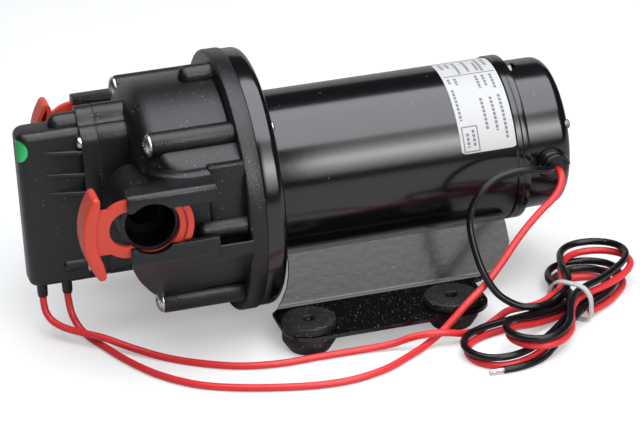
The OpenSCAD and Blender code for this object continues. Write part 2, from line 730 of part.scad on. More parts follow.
module pump_head() {
    color(satin_black) difference() {
        union() {
            turned(concat([[0, x_bell]],
                arc(bell_r - bell_round, x_bell + bell_round, bell_round, -90, 0),
                [[bell_r, flange_x], [flange_r, flange_x], [flange_r, x_fl1], [cavity_r, x_fl1],
                [cavity_r, x_valve], [chamber_r, x_valve], [chamber_r, x_chamber], [divider_r, x_chamber],
                [divider_r, x_valve - 0.2], [divider_r - 2, x_valve - 0.2], [divider_r - 2, x_chamber],
                [0, x_chamber]]));
            difference() {
                union() {
                    for (a = [45:90:315]) at_angle(a)
                        rod_x(x_boss, flange_x + 1, 0, axis_h + screw_ring_r, boss_r);
                    for (a = [0, 180]) at_angle(a) blind_boss(13);
                    for (a = [90, 270]) at_angle(a) blind_boss(20);
                    port_side();
                    mirror([0, 1, 0]) port_side();
                    along_x(x_base, x_bell + 3) switch_outline(0);
                }
                rod_x(x_chamber - 0.01, x_valve + 0.01, 0, axis_h, chamber_r);
                rod_x(x_valve - 0.01, x_fl1 + 1, 0, axis_h, cavity_r);
                translate([x_base - 5, -switch_w / 2 - run, z_sw0])
                    cube([5, switch_w + 2 * run, z_sw1 - z_sw0]);
            }
        }
        for (a = [45:90:315]) at_angle(a) {
            rod_x(x_boss - 1, x_fl1 + 1, 0, axis_h + screw_ring_r, screw_r + fit);
            rod_x(x_boss - 12, x_boss, 0, axis_h + screw_ring_r, screw_head_r + run);
        }
        for (s = [-1, 1]) rod_y(s > 0 ? mouth_y - port_depth : -mouth_y - 1,
            s > 0 ? mouth_y + 1 : port_depth - mouth_y, x_port, z_port, port_r);
        rod_y(-mouth_y + port_depth - 1, -20, x_port, z_port, 6);
        rod_y(-2, mouth_y - port_depth + 1, x_port, z_port, 4);
        rod_x(x_port, x_chamber + 1, 2, z_port - 3, 4);
        rod_x(x_base - 1, x_base + 1, 0, z_plunger, sensor_rim);
        rod_x(x_base, x_base + 3.4, 0, z_plunger, sensor_r);
        rod_x(x_base + 3, x_port, 2, z_plunger + 6.5, 1.2);
        for (y = [-cover_screw_y, cover_screw_y], z = cover_screw_z)
            rod_x(x_base - 1, x_base + 9, y, z, cover_screw_r + fit);
    }
}

// Blind boss on the bell with a round front end
module blind_boss(length) {
    rod_x(flange_x - length + 4.4, flange_x + 1, 0, axis_h + screw_ring_r - 0.4, 4.4);
    translate([flange_x - length + 4.4, 0, axis_h + screw_ring_r - 0.4]) sphere(4.4);
}

module head_screws() {
    color(steel) for (a = [45:90:315]) at_angle(a) {
        rod_x(x_boss, x_cup1 + 1, 0, axis_h + screw_ring_r, screw_r);
        difference() {
            intersection() {
                rod_x(x_boss - screw_head_h, x_boss, 0, axis_h + screw_ring_r, screw_head_r);
                translate([x_boss + 3.4, 0, axis_h + screw_ring_r]) sphere(screw_head_h + 3.4);
            }
            for (b = [45, 135]) translate([x_boss - screw_head_h - 0.3, 0, axis_h + screw_ring_r])
                rotate([b, 0, 0]) translate([0, -2.2, -0.5]) cube([1.5, 4.4, 1]);
        }
    }
}

// Port clips

module clip_outline() {
    difference() {
        union() {
            intersection() {
                union() {
                    translate([-clip_throw, 0]) circle(ring_r);
                    translate([-clip_throw, -clip_half]) square([clip_throw, 2 * clip_half]);
                    circle(bow_r);
                }
                translate([-clip_throw - ring_r, -clip_half])
                    square([clip_throw + ring_r + bow_r, 2 * clip_half]);
            }
            translate([grip_x1 - 4, -8.8]) square([-clip_throw - grip_x1 + 4, 17.6]);
        }
        translate([-clip_throw, 0]) circle(lock_r);
        translate([-clip_throw, -lock_r + 0.1]) square([5, 2 * lock_r - 0.2]);
        circle(open_r);
    }
}

module grip_outline(inset) {
    difference() {
        intersection() {
            translate([grip_x0 + 29, 0]) circle(29 - inset);
            translate([grip_x0, -grip_h / 2 + inset]) square([grip_bulge - inset, grip_h - 2 * inset]);
        }
        translate([grip_x0 + 32.9, 0]) circle(27.5 + inset);
    }
}

module clip() {
    translate([x_port, 0, z_port]) difference() {
        union() {
            along_y(-clip_y - clip_t, -clip_y) clip_outline();
            along_y(-clip_y - clip_t - 1.5, -clip_y - clip_t) intersection() {
                difference() {
                    circle(bow_r);
                    circle(bow_r - 2.8);
                }
                translate([0, -lip_in + 0.4]) square([bow_r, 2 * lip_in - 0.8]);
            }
            along_y(-clip_y - clip_t - 1.5, -clip_y - clip_t - 1.5 + grip_d) grip_outline(0);
        }
        along_y(-clip_y, -clip_y + grip_d) grip_outline(1.8);
    }
}

module inlet_clip() {
    color(clip_red) clip();
}

module outlet_clip() {
    color(clip_red) mirror([0, 1, 0]) clip();
}

// Pressure switch

module switch_gasket() {
    color(rubber_black) difference() {
        along_x(x_cover1, x_base) switch_outline(0.4);
        rod_x(x_cover1 - 1, x_base + 1, 0, z_plunger, sensor_r);
        for (y = [-cover_screw_y, cover_screw_y], z = cover_screw_z)
            rod_x(x_cover1 - 1, x_base + 1, y, z, cover_screw_r + fit);
    }
}

module switch_diaphragm() {
    color(rubber_black) rod_x(x_base, x_base + 1, 0, z_plunger, sensor_rim - fit);
}

module switch_plunger() {
    color([0.8, 0.8, 0.78]) {
        rod_x(x_base - 1.8, x_base - fit, 0, z_plunger, 6);
        rod_x(micro_x1 + 1.6 + fit, x_base - 1.8, 0, z_plunger, 2);
    }
}

module switch_spring() {
    x0 = x_cover + 1.5;
    color(steel) difference() {
        rod_x(x0, x_base - 1.8 - plunger_throw - run, 0, z_plunger, 4.4);
        rod_x(x0 - 1, x_base, 0, z_plunger, 3.4);
    }
}

module micro_switch() {
    color([0.15, 0.15, 0.16]) difference() {
        translate([micro_x0, -3.2, micro_z0]) cube([micro_len, 6.4, 20]);
        rod_x(micro_x1 - 4, micro_x1 + 1, 0, z_plunger, 1.5 + fit);
    }
}

module switch_button() {
    color([0.8, 0.2, 0.15]) rod_x(micro_x1 - 2.5, micro_x1 + 1.6, 0, z_plunger, 1.5);
}

module switch_terminals() {
    color([0.75, 0.62, 0.35]) for (x = x_sleeves)
        translate([x - 1, -0.4, z_sw0 - 2]) cube([2, 0.8, micro_z0 - z_sw0 + 2]);
}

module dome_outline(inset) {
    r = dome_round - inset;
    w = dome_w / 2 - inset;
    translate([x_dome + inset + r, -w]) square([x_cover1 - x_dome - inset - r, 2 * w]);
    translate([x_dome + inset, -w + r]) square([r + 1, 2 * w - 2 * r]);
    for (s = [-1, 1]) translate([x_dome + inset + r, s * (w - r)]) circle(r);
}

module switch_cover() {
    z0 = z_sw0 - 2;
    z1 = z_sw1 - 0.6;
    color(satin_black) difference() {
        union() {
            along_x(x_cover, x_cover1) switch_outline(0);
            along_z(z0, z1) dome_outline(0);
            rod_x(x_cover - 7, x_cover, 0, z_sw1 - 0.4, 4);
            translate([x_cover - 7, 0, z_sw1 - 0.4]) sphere(4);
            for (s = [-1, 1]) {
                rod_x(x_cover - 8.6, x_cover, s * (dome_w / 2 - 1.2), z_sw0 + 5.4, 2.6);
                translate([x_cover - 8.6, s * (dome_w / 2 - 1.2), z_sw0 + 5.4]) sphere(2.6);
                for (z = [axis_h + 25, axis_h + 15.7, axis_h + 7.9])
                    along_z(z - 0.5, z + 0.5) polygon([[x_cover, s * (dome_w / 2 - 1)],
                        [x_cover, s * (switch_w / 2 - 1.5)], [x_cover - 15, s * dome_w / 2],
                        [x_cover - 15, s * (dome_w / 2 - 1)]]);
            }
        }
        intersection() {
            along_z(z0 + cover_wall, z1 - cover_wall) dome_outline(cover_wall);
            translate([x_dome, -20, z0]) cube([dome_len, 40, z1 - z0]);
        }
        along_x(x_cover + 1.5, x_cover1 + 1) round_rect(-7, z_plunger - 14, 7, z_plunger + 14, 2);
        rod_x(x_cover - 2, x_cover + 3, 0, z_plunger, 2 + fit);
        for (x = x_sleeves) translate([x - 1.1, -0.5, z0 - 1]) cube([2.2, 1, cover_wall + 2]);
        for (y = [-cover_screw_y, cover_screw_y], z = cover_screw_z) {
            rod_x(x_cover - 1, x_cover1 + 1, y, z, cover_screw_r + fit);
            rod_x(x_cover - 9, x_cover, y, z, cover_screw_head + run);
        }
    }
}

module cover_screws() {
    color(steel) for (y = [-cover_screw_y, cover_screw_y], z = cover_screw_z) {
        rod_x(x_cover, x_base + 8.5, y, z, cover_screw_r);
        difference() {
            rod_x(x_cover - 1.7, x_cover, y, z, cover_screw_head);
            for (b = [45, 135]) translate([x_cover - 2, y, z]) rotate([b, 0, 0])
                translate([0, -1.4, -0.35]) cube([1.1, 2.8, 0.7]);
        }
    }
}

module lead_sleeves() {
    z1 = z_sw0 - 2;
    color(rubber_black) for (x = x_sleeves) rod_z(z1 - sleeve_len + 1, z1, x, 0, sleeve_r);
}

module round_sticker() {
    z = z_sw1 - 7.4;
    color([0.1, 0.62, 0.25]) intersection() {
        difference() {
            along_z(z - 6, z + 6) dome_outline(-0.25);
            along_z(z - 7, z + 7) dome_outline(-0.03);
        }
        translate([x_dome + dome_round, -dome_w / 2 + dome_round, z]) rotate([0, 0, 205])
            rotate([0, 90, 0]) cylinder(h = 9, r = 4.6);
    }
}

// Mounting base

module plate_outline() {
    r = foot_r;
    translate([plate_x0 + r, -plate_y1]) square([plate_x1 - plate_x0 - 2 * r, r]);
    translate([plate_x0, -plate_y1 + r]) square([plate_x1 - plate_x0, plate_y1 - plate_y0 - r + 1]);
    for (x = [plate_x0 + r, plate_x1 - r]) translate([x, -plate_y1 + r]) circle(r);
}

module base_side() {
    bite = 38;
    y_top = (saddle_ro - sheet / 2) * sin(bite);
    z_top = axis_h - (saddle_ro - sheet / 2) * cos(bite);
    z_low = plate_top - sheet - 1;
    x_end = saddle_x + saddle_len;
    difference() {
        along_z(plate_top - sheet, plate_top) plate_outline();
        for (x = [-foot_x, foot_x]) rod_z(plate_top - sheet - 1, plate_top + 1, x, -foot_y, neck_r + fit);
    }
    intersection() {
        along_x(plate_x0, x_end + 2) polygon([[-plate_y0 - sheet / 2, plate_top - sheet],
            [-plate_y0 + sheet / 2, plate_top - sheet], [-y_top + sheet / 2, z_top],
            [-y_top - sheet / 2, z_top]]);
        along_y(-plate_y0 - 10, 0) polygon([[plate_x0, z_low], [plate_x0 + 3, z_low + 1.5],
            [plate_x0 + 6.5, z_low + 5.5], [plate_x0 + 9, z_low + 11.5], [saddle_x, z_top - 4],
            [saddle_x, z_top + 4], [x_end, z_top + 4], [x_end + 0.5, z_low + 21.5],
            [x_end + 1, z_low + 13.5], [x_end - 2.5, z_low + 7], [plate_x1 + 8, z_low + 2.5],
            [plate_x1, z_low]]);
    }
}

module mounting_base() {
    color(gloss_black) {
        base_side();
        mirror([0, 1, 0]) base_side();
        intersection() {
            tube_x(saddle_x, saddle_x + saddle_len, saddle_ro, saddle_ri);
            wedge(saddle_x - 1, saddle_x + saddle_len + 1, 180 - saddle_deg, 180 + saddle_deg, 3 * can_r);
        }
    }
}

module rubber_feet() {
    z0 = plate_top - sheet - fit;
    color(rubber_black) for (x = [-foot_x, foot_x], y = [-foot_y, foot_y]) translate([x, y, 0])
        rotate_extrude() polygon([[hole_r, 0], [sole_r, 0], [foot_r, z0 - 3], [foot_r, z0],
            [neck_r, z0], [neck_r, plate_top + fit], [foot_r, plate_top + fit],
            [foot_r, plate_top + foot_cap - 1], [foot_r - 1, plate_top + foot_cap],
            [hole_r, plate_top + foot_cap]]);
}

// Leads

module supply_lead() {
    color(lead_red) swept(supply_end, lead_d / 2, 8);
}

module link_lead() {
    color(lead_red) swept(link_route, lead_d / 2, 8);
}

module return_lead() {
    color(lead_black) swept(return_end, lead_d / 2, 8);
}

module return_tail() {
    color(lead_black) swept(tail_start, lead_d / 2, 8);
}

module red_hank() {
    color(lead_red) swept(hank_path(hank_red_end, 0, 12), lead_d / 2, 6);
}

module black_hank() {
    color(lead_black) swept(hank_path(hank_black_end, 1, 12), lead_d / 2, 6);
}

module cable_tie() {
    z1 = lead_d + 3 * layer_h + 1.3;
    color([0.9, 0.9, 0.9]) translate([hank_x, hank_y, 0]) rotate([0, 0, hank_turn]) difference() {
        along_x(-tie_w / 2, tie_w / 2) round_rect(-9.6, 0.1, 10.3, z1 + 1.4, 4);
        along_x(-tie_w, tie_w) round_rect(-8.6, 1.1, 9.3, z1 + 0.4, 3);
    }
}

module bare_end() {
    n = len(tail_start);
    d = unit(tail_start[n - 1] - tail_start[n - 2]);
    color(copper) swept([tail_start[n - 1], tail_start[n - 1] + bare_len * d], lead_d / 3, 8);
}

motor_can();
motor_end_cap();
lead_grommet();
field_magnets();
armature_core();
armature_windings();
commutator();
motor_shaft();
front_bearing();
rear_bearing();
brush_holder();
brushes();
brush_springs();
through_bolts();
front_cup();
rating_label();
drive_cam();
cam_bearing();
wobble_plate();
piston_caps();
piston_screws();
diaphragm();
drive_housing();
valve_plate();
inlet_valves();
outlet_valve();
pump_head();
head_screws();
inlet_clip();
outlet_clip();
switch_gasket();
switch_diaphragm();
switch_plunger();
switch_spring();
micro_switch();
switch_button();
switch_terminals();
switch_cover();
cover_screws();
lead_sleeves();
round_sticker();
mounting_base();
rubber_feet();
supply_lead();
link_lead();
return_lead();
return_tail();
red_hank();
black_hank();
cable_tie();
bare_end();
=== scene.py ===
# %% [markdown]
# Caravan water pump
#
# A motor-driven diaphragm pump: a painted motor can on a pressed base with rubber feet, a moulded
# pump head with two push-in ports held by red clips, a pressure switch on its front and two leads
# tied in a hank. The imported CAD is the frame. Each cell below makes one piece of the outside in
# its place, in the same metres, and says how.

# %% Load the frame
import json
import math
import bmesh
import bpy
from mathutils import Matrix, Vector


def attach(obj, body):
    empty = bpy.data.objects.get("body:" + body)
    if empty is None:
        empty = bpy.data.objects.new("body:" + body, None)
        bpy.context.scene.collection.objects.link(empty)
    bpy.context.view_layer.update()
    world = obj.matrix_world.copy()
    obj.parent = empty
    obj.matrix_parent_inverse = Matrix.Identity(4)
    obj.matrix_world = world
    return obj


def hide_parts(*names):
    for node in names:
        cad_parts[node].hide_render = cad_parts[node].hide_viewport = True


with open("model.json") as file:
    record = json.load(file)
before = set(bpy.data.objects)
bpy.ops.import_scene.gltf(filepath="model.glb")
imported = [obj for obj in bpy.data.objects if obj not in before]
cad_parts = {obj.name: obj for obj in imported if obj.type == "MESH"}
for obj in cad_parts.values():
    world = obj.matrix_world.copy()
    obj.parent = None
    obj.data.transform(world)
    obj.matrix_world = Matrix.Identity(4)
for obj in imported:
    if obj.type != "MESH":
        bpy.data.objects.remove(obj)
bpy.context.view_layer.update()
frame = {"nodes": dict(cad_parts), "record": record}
scene = bpy.context.scene

# %% [markdown]
# Camera
#
# The camera is set before anything else, so that every later piece can be judged against the
# photograph. A camera looks along its own -Z with +Y up, so its matrix is three unit columns:
# right, up and backwards. The picture is turned a little, which is a turn of right and up about
# the view.

# %% Camera
heading, dip, tilt = math.radians(14.25), math.radians(23.96), math.radians(-3.18)
eye = (-0.2677, -1.0135, 0.4972)
ahead = Vector((math.sin(heading) * math.cos(dip), math.cos(heading) * math.cos(dip),
    -math.sin(dip)))
level = Vector((math.cos(heading), -math.sin(heading), 0))
above = level.cross(ahead)
right = math.cos(tilt) * level + math.sin(tilt) * above
up = -math.sin(tilt) * level + math.cos(tilt) * above
lens = bpy.data.cameras.new("camera")
lens.lens = 158.38
lens.sensor_width = 36
lens.sensor_fit = "HORIZONTAL"
camera = bpy.data.objects.new("camera", lens)
camera.matrix_world = Matrix.Translation(eye) @ Matrix(
    (right, up, -ahead)).transposed().to_4x4()
scene.collection.objects.link(camera)
scene.camera = camera
print("camera looks along", [round(a, 3) for a in ahead])

# %% [markdown]
# Shared surface effects
#
# Three effects are used by many materials, so each is a node group that gives a mask, a value or a
# normal over the surface: fine dust that clings to black plastic, the grain of a moulding, and the
# slow ripple of sprayed paint. They read Object coordinates, so their scale is true in metres.
# Dust is a Voronoi pattern in which only some cells, picked by their random colour, show a dot.

# %% Shared surface effects
def effect(name, inputs, outputs):
    tree = bpy.data.node_groups.new(name, "ShaderNodeTree")
    for label, value in inputs:
        socket = tree.interface.new_socket(label, in_out="INPUT", socket_type="NodeSocketFloat")
        socket.default_value = value
    for label, kind in outputs:
        tree.interface.new_socket(label, in_out="OUTPUT", socket_type=kind)
    entry = tree.nodes.new("NodeGroupInput").outputs
    leave = tree.nodes.new("NodeGroupOutput").inputs
    place = tree.nodes.new("ShaderNodeTexCoord").outputs["Object"]
    return tree, entry, leave, place


def sums(tree, kind, a, b):
    node = tree.nodes.new("ShaderNodeMath")
    node.operation = kind
    for socket, value in zip(node.inputs, (a, b)):
        if isinstance(value, (int, float)):
            socket.default_value = value
        else:
            tree.links.new(value, socket)
    return node.outputs[0]


def noise_normal(tree, entry, leave, place, detail):
    noise = tree.nodes.new("ShaderNodeTexNoise")
    noise.inputs["Detail"].default_value = detail
    tree.links.new(place, noise.inputs["Vector"])
    tree.links.new(entry["Scale"], noise.inputs["Scale"])
    bump = tree.nodes.new("ShaderNodeBump")
    tree.links.new(noise.outputs[0], bump.inputs["Height"])
    tree.links.new(entry["Depth"], bump.inputs["Distance"])
    tree.links.new(bump.outputs[0], leave["Normal"])


dust, entry, leave, place = effect("dust", [("Cells", 1500), ("Share", 0.1), ("Size", 0.3)],
    [("Mask", "NodeSocketFloat")])
cells = dust.nodes.new("ShaderNodeTexVoronoi")
dust.links.new(place, cells.inputs["Vector"])
dust.links.new(entry["Cells"], cells.inputs["Scale"])
chance = dust.nodes.new("ShaderNodeSeparateColor")
dust.links.new(cells.outputs["Color"], chance.inputs[0])
reach = sums(dust, "MULTIPLY", chance.outputs[1], entry["Size"])
inside = sums(dust, "LESS_THAN", cells.outputs["Distance"], reach)
chosen = sums(dust, "LESS_THAN", chance.outputs[0], entry["Share"])
dust.links.new(sums(dust, "MULTIPLY", inside, chosen), leave["Mask"])

grain, entry, leave, place = effect("grain", [("Scale", 2500), ("Depth", 0.00004)],
    [("Normal", "NodeSocketVector"), ("Mottle", "NodeSocketFloat")])
noise_normal(grain, entry, leave, place, 3)
cloud = grain.nodes.new("ShaderNodeTexNoise")
cloud.inputs["Scale"].default_value = 70
cloud.inputs["Detail"].default_value = 4
grain.links.new(place, cloud.inputs["Vector"])
grain.links.new(cloud.outputs[0], leave["Mottle"])

peel, entry, leave, place = effect("peel", [("Scale", 260), ("Depth", 0.00001)],
    [("Normal", "NodeSocketVector")])
noise_normal(peel, entry, leave, place, 1.5)
print("effects", [g.name for g in bpy.data.node_groups])

# %% [markdown]
# One recipe for every material
#
# Each material is one Principled shader. Its constants are set on the shader, and the effects give
# only what changes over the surface: specks of dust mixed into the colour, a mottled roughness,
# and the normal of the grain or the paint. A Mix node keeps a set of sockets for each kind of
# data, so its colour sockets are found by their number.

# %% One recipe for every material
MIX_A, MIX_B, MIX_OUT = 6, 7, 2


def colour_mix(tree, first, second):
    mix = tree.nodes.new("ShaderNodeMix")
    mix.data_type = "RGBA"
    mix.inputs[MIX_A].default_value = (*first, 1)
    mix.inputs[MIX_B].default_value = (*second, 1)
    return mix


def surface(name, colour, rough, skin="grain", scale=2500, depth=0.00004, spread=0.08, specks=0.0,
        speck_cells=1500, speck_tone=0.3, metal=0.0, gloss=0.5, see=0.0, mottle=0.0, under=0.0):
    material = bpy.data.materials.new(name)
    material.use_nodes = True
    tree = material.node_tree
    shader = tree.nodes["Principled BSDF"]
    for socket, value in (("Base Color", (*colour, 1)), ("Roughness", rough), ("Metallic", metal),
            ("Specular IOR Level", gloss), ("Transmission Weight", see),
            ("Subsurface Weight", under), ("Subsurface Scale", 0.002)):
        shader.inputs[socket].default_value = value
    texture = tree.nodes.new("ShaderNodeGroup")
    texture.node_tree = grain if skin == "grain" else peel
    texture.inputs["Scale"].default_value = scale
    texture.inputs["Depth"].default_value = depth
    tree.links.new(texture.outputs["Normal"], shader.inputs["Normal"])
    tint = None
    if skin == "grain":
        band = tree.nodes.new("ShaderNodeMapRange")
        band.inputs["To Min"].default_value = rough - spread
        band.inputs["To Max"].default_value = rough + spread
        tree.links.new(texture.outputs["Mottle"], band.inputs["Value"])
        tree.links.new(band.outputs[0], shader.inputs["Roughness"])
        if mottle:
            tone = colour_mix(tree, [c * (1 - mottle) for c in colour],
                [min(1, c * (1 + mottle)) for c in colour])
            tree.links.new(texture.outputs["Mottle"], tone.inputs[0])
            tint = tone.outputs[MIX_OUT]
            tree.links.new(tint, shader.inputs["Base Color"])
    if specks:
        dots = tree.nodes.new("ShaderNodeGroup")
        dots.node_tree = dust
        dots.inputs["Share"].default_value = specks
        dots.inputs["Cells"].default_value = speck_cells
        dusty = colour_mix(tree, colour, (speck_tone, speck_tone, 0.95 * speck_tone))
        if tint:
            tree.links.new(tint, dusty.inputs[MIX_A])
        tree.links.new(dots.outputs["Mask"], dusty.inputs[0])
        tree.links.new(dusty.outputs[MIX_OUT], shader.inputs["Base Color"])
    return material


print("recipe made:", surface.__name__)

# %% [markdown]
# Materials
#
# The real pump is nearly all black, and its blacks differ in gloss, not in colour: wet paint on
# the can and the base, a smooth end cap, a coarser head and cover, and dusty rubber. The bores
# take a darker black with little gloss, which is painted shade for the deep holes.
# The base plate collects dust, so it has a matt finish of its own. Every CAD node then takes the
# finish that its slot in the record names, but the through bolts' heads, deep in the cap, take a
# darker steel: painted shade for the pocket that they sit in.

# %% Materials
paint = surface("gloss_paint", (0.003, 0.003, 0.004), 0.165, "peel", 330, 0.00001, specks=0.006,
    gloss=0.8)
cap_black = surface("cap_plastic", (0.004, 0.004, 0.005), 0.16, scale=1800, depth=0.00002,
    spread=0.04, specks=0.01, gloss=0.75)
base_paint = surface("base_paint", (0.003, 0.003, 0.006), 0.2, "peel", 420, 0.00004, specks=0.01,
    gloss=0.64)
base_dusty = surface("base_dusty", (0.002, 0.002, 0.002), 0.5, scale=1800, specks=0.2,
    speck_cells=2000, speck_tone=0.7, gloss=0.04)
head_black = surface("head_plastic", (0.005, 0.005, 0.006), 0.33, scale=1500, depth=0.00016,
    specks=0.06)
# A darker black with little gloss: painted shade for the deep port bores.
bore_painted_shade = surface("port_bore_painted_shade", (0.002, 0.002, 0.002), 0.4, gloss=0.15)
cover_black = surface("cover_plastic", (0.009, 0.009, 0.01), 0.34, scale=1700, depth=0.00014,
    specks=0.02)
clip_red = surface("clip_plastic", (0.57, 0.05, 0.028), 0.36, scale=1500, depth=0.00003,
    mottle=0.08, under=0.1)
steel = surface("bright_steel", (0.66, 0.63, 0.59), 0.32, scale=3000, depth=0.00001, metal=1.0)
# Darker steel: painted shade for the bolt heads deep in the cap and for the rear nub.
steel_painted_shade = surface("steel_painted_shade", (0.24, 0.23, 0.22), 0.42, scale=3000, depth=0.00001, metal=1.0)
rubber = surface("rubber", (0.006, 0.006, 0.006), 0.5, scale=1600, depth=0.0001, specks=0.3,
    speck_cells=2000, speck_tone=0.6)
vinyl = surface("grommet_vinyl", (0.004, 0.004, 0.004), 0.2, scale=1600, depth=0.00003, spread=0.05)
label_white = surface("label_paper", (0.53, 0.53, 0.532), 0.4, scale=900, depth=0.00001, gloss=0.25)
ink = surface("label_ink", (0.16, 0.155, 0.17), 0.45, scale=900, depth=0.00001)
sticker_green = surface("sticker", (0.035, 0.62, 0.18), 0.35, scale=900, depth=0.00001, mottle=0.15)
lead_red = surface("lead_red", (0.72, 0.03, 0.036), 0.34, scale=900, depth=0.00003, mottle=0.08)
lead_black = surface("lead_black", (0.004, 0.004, 0.005), 0.27, scale=900, depth=0.00003,
    specks=0.02, gloss=0.4)
tie_white = surface("tie_nylon", (0.74, 0.74, 0.74), 0.4, scale=900, depth=0.00002, see=0.4)
copper = surface("copper", (0.6, 0.26, 0.11), 0.35, scale=1500, depth=0.0001, metal=1.0)
ferrite = surface("ferrite", (0.05, 0.05, 0.055), 0.6, scale=1200, depth=0.0001)
carbon = surface("carbon", (0.03, 0.03, 0.03), 0.7, scale=1800, depth=0.0001)
board = surface("board", (0.17, 0.09, 0.035), 0.6, scale=1200, depth=0.0001, mottle=0.2)
pale = surface("pale_plastic", (0.6, 0.58, 0.54), 0.45, scale=1500, depth=0.00004, mottle=0.05)
red_button = surface("button_red", (0.6, 0.03, 0.02), 0.4, scale=1500, depth=0.00003, mottle=0.08)
finishes = {"gloss_paint": paint, "cap_plastic": cap_black, "head_plastic": head_black,
    "clip_plastic": clip_red, "steel": steel, "copper": copper, "magnet": ferrite,
    "carbon": carbon, "board": board, "pale_plastic": pale, "switch_body": cover_black,
    "button_red": red_button, "rubber": rubber, "label": label_white, "sticker": sticker_green,
    "lead_red": lead_red, "lead_black": lead_black, "tie": tie_white}
for part in frame["record"]["subparts"]:
    node = frame["nodes"][part["node"]]
    node.data.materials.clear()
    node.data.materials.append(finishes[part["material_slot"]])
# The bolt heads in the cap's pocket take the darker steel, painted shade.
frame["nodes"]["through_bolts"].data.materials[0] = steel_painted_shade
print("CAD nodes dressed", len(frame["nodes"]))

# %% [markdown]
# Floor and world
#
# The photograph is a white studio sweep. The floor is a diffuse white that gets a little extra
# light only where the camera or a clear piece sees it, so that it stays white and keeps the
# shadow. In reflections it is a little darker. The world is white to the camera and nearly black
# to all other rays, so the black paint mirrors the lamps and not an empty sky.

# %% Floor and world
FLOOR_TONE, FLOOR_GLOW, MIRRORED_LOSS = 0.65, 0.33, 0.14
floor_mesh = bpy.data.meshes.new("floor")
sheet = bmesh.new()
bmesh.ops.create_grid(sheet, x_segments=8, y_segments=8, size=6)
sheet.to_mesh(floor_mesh)
sheet.free()
floor = bpy.data.objects.new("floor", floor_mesh)
scene.collection.objects.link(floor)
pale_floor = bpy.data.materials.new("floor")
pale_floor.use_nodes = True
tree = pale_floor.node_tree
shader = tree.nodes["Principled BSDF"]
shader.inputs["Roughness"].default_value = 0.9
shader.inputs["Specular IOR Level"].default_value = 0.0
shader.inputs["Emission Color"].default_value = (1, 1, 1, 1)
ray = tree.nodes.new("ShaderNodeLightPath")
seen = sums(tree, "MAXIMUM", ray.outputs["Is Camera Ray"], ray.outputs["Is Transmission Ray"])
tree.links.new(sums(tree, "MULTIPLY", seen, FLOOR_GLOW), shader.inputs["Emission Strength"])
dimmer = sums(tree, "MULTIPLY", ray.outputs["Is Glossy Ray"], MIRRORED_LOSS)
tree.links.new(sums(tree, "SUBTRACT", FLOOR_TONE, dimmer), shader.inputs["Base Color"])
floor_mesh.materials.append(pale_floor)

world = bpy.data.worlds.new("studio")
scene.world = world
world.use_nodes = True
tree = world.node_tree
ray = tree.nodes.new("ShaderNodeLightPath")
sky = colour_mix(tree, (0.03, 0.03, 0.032), (1, 1, 1))
tree.links.new(ray.outputs["Is Camera Ray"], sky.inputs[0])
tree.links.new(sky.outputs[MIX_OUT], tree.nodes["Background"].inputs[0])
print("floor", floor_mesh.name, "and world", world.name)

# %% [markdown]
# Lights
#
# One broad softbox hangs overhead and gives the soft shadow. The pale bands along the motor mirror
# a bright panel in front, which fades out above and below. One area light has a hard edge, so five
# of them are stacked, each shorter than the one before it and a little nearer, and their glow adds
# up in steps. A low, wide light behind the pump stands for the lit backdrop.

# %% Lights
def softbox(name, place, aim, width, height, power, colour=(1, 1, 1)):
    light = bpy.data.lights.new(name, "AREA")
    light.shape = "RECTANGLE"
    light.size = width
    light.size_y = height
    light.energy = power
    light.color = colour
    lamp = bpy.data.objects.new(name, light)
    lamp.location = place
    lamp.rotation_euler = (Vector(aim) - Vector(place)).to_track_quat("-Z", "Y").to_euler()
    scene.collection.objects.link(lamp)


PANEL_WIDTH = 1.1
PANELS = ((0.22, 1.77, 1.35), (0.3, 1.2, 1), (0.4, 1, 1.4), (0.5, 0.85, 1.6), (0.58, 0.78, 1.2))
softbox("overhead", (0.06, -0.12, 0.85), (0.06, -0.02, 0.05), 1.1, 0.95, 12.5, (0.94, 0.965, 1))
for step, (low, high, glow) in enumerate(PANELS):
    middle, height = (low + high) / 2, high - low
    softbox("front", (0.35, -1.3 + 0.02 * step, middle), (0.35, 0, middle), PANEL_WIDTH, height,
        glow * math.pi * PANEL_WIDTH * height, (1, 0.995, 0.98))
softbox("backdrop", (0.1, 1.6, 0.42), (0.1, 0, 0.42), 2.4, 0.84, 3.3)
scene.view_settings.view_transform = "Standard"

# %% [markdown]
# The hank
#
# The spare length of the two long leads is wound in a figure eight round the tie. One formula
# gives every point: half a turn of the angle is one loop, each loop has its own reach, belly and
# lean, and after the second loop the hank drops to the layer below. The black lead lies one layer
# above the red one. Lengths are in millimetres until a piece is finished.

# %% The hank
MM = 0.001
LEAD = 2.9
LAYER = 3.4
HANK_AT = (75, -61.5)
HANK_WAY = 41
HANK_BOW = 0.36
FIRST_TURN, RED_LAST, BLACK_LAST = 84, 985, 1000
RIGHT_LOOPS = [(48, 28, 5), (36, 21, 11), (43, 29, 11)]
LEFT_LOOPS = [(43, 24, 11), (54, 28, -6)]


def ease(t):
    t = max(0, min(1, t))
    return t * t * (3 - 2 * t)


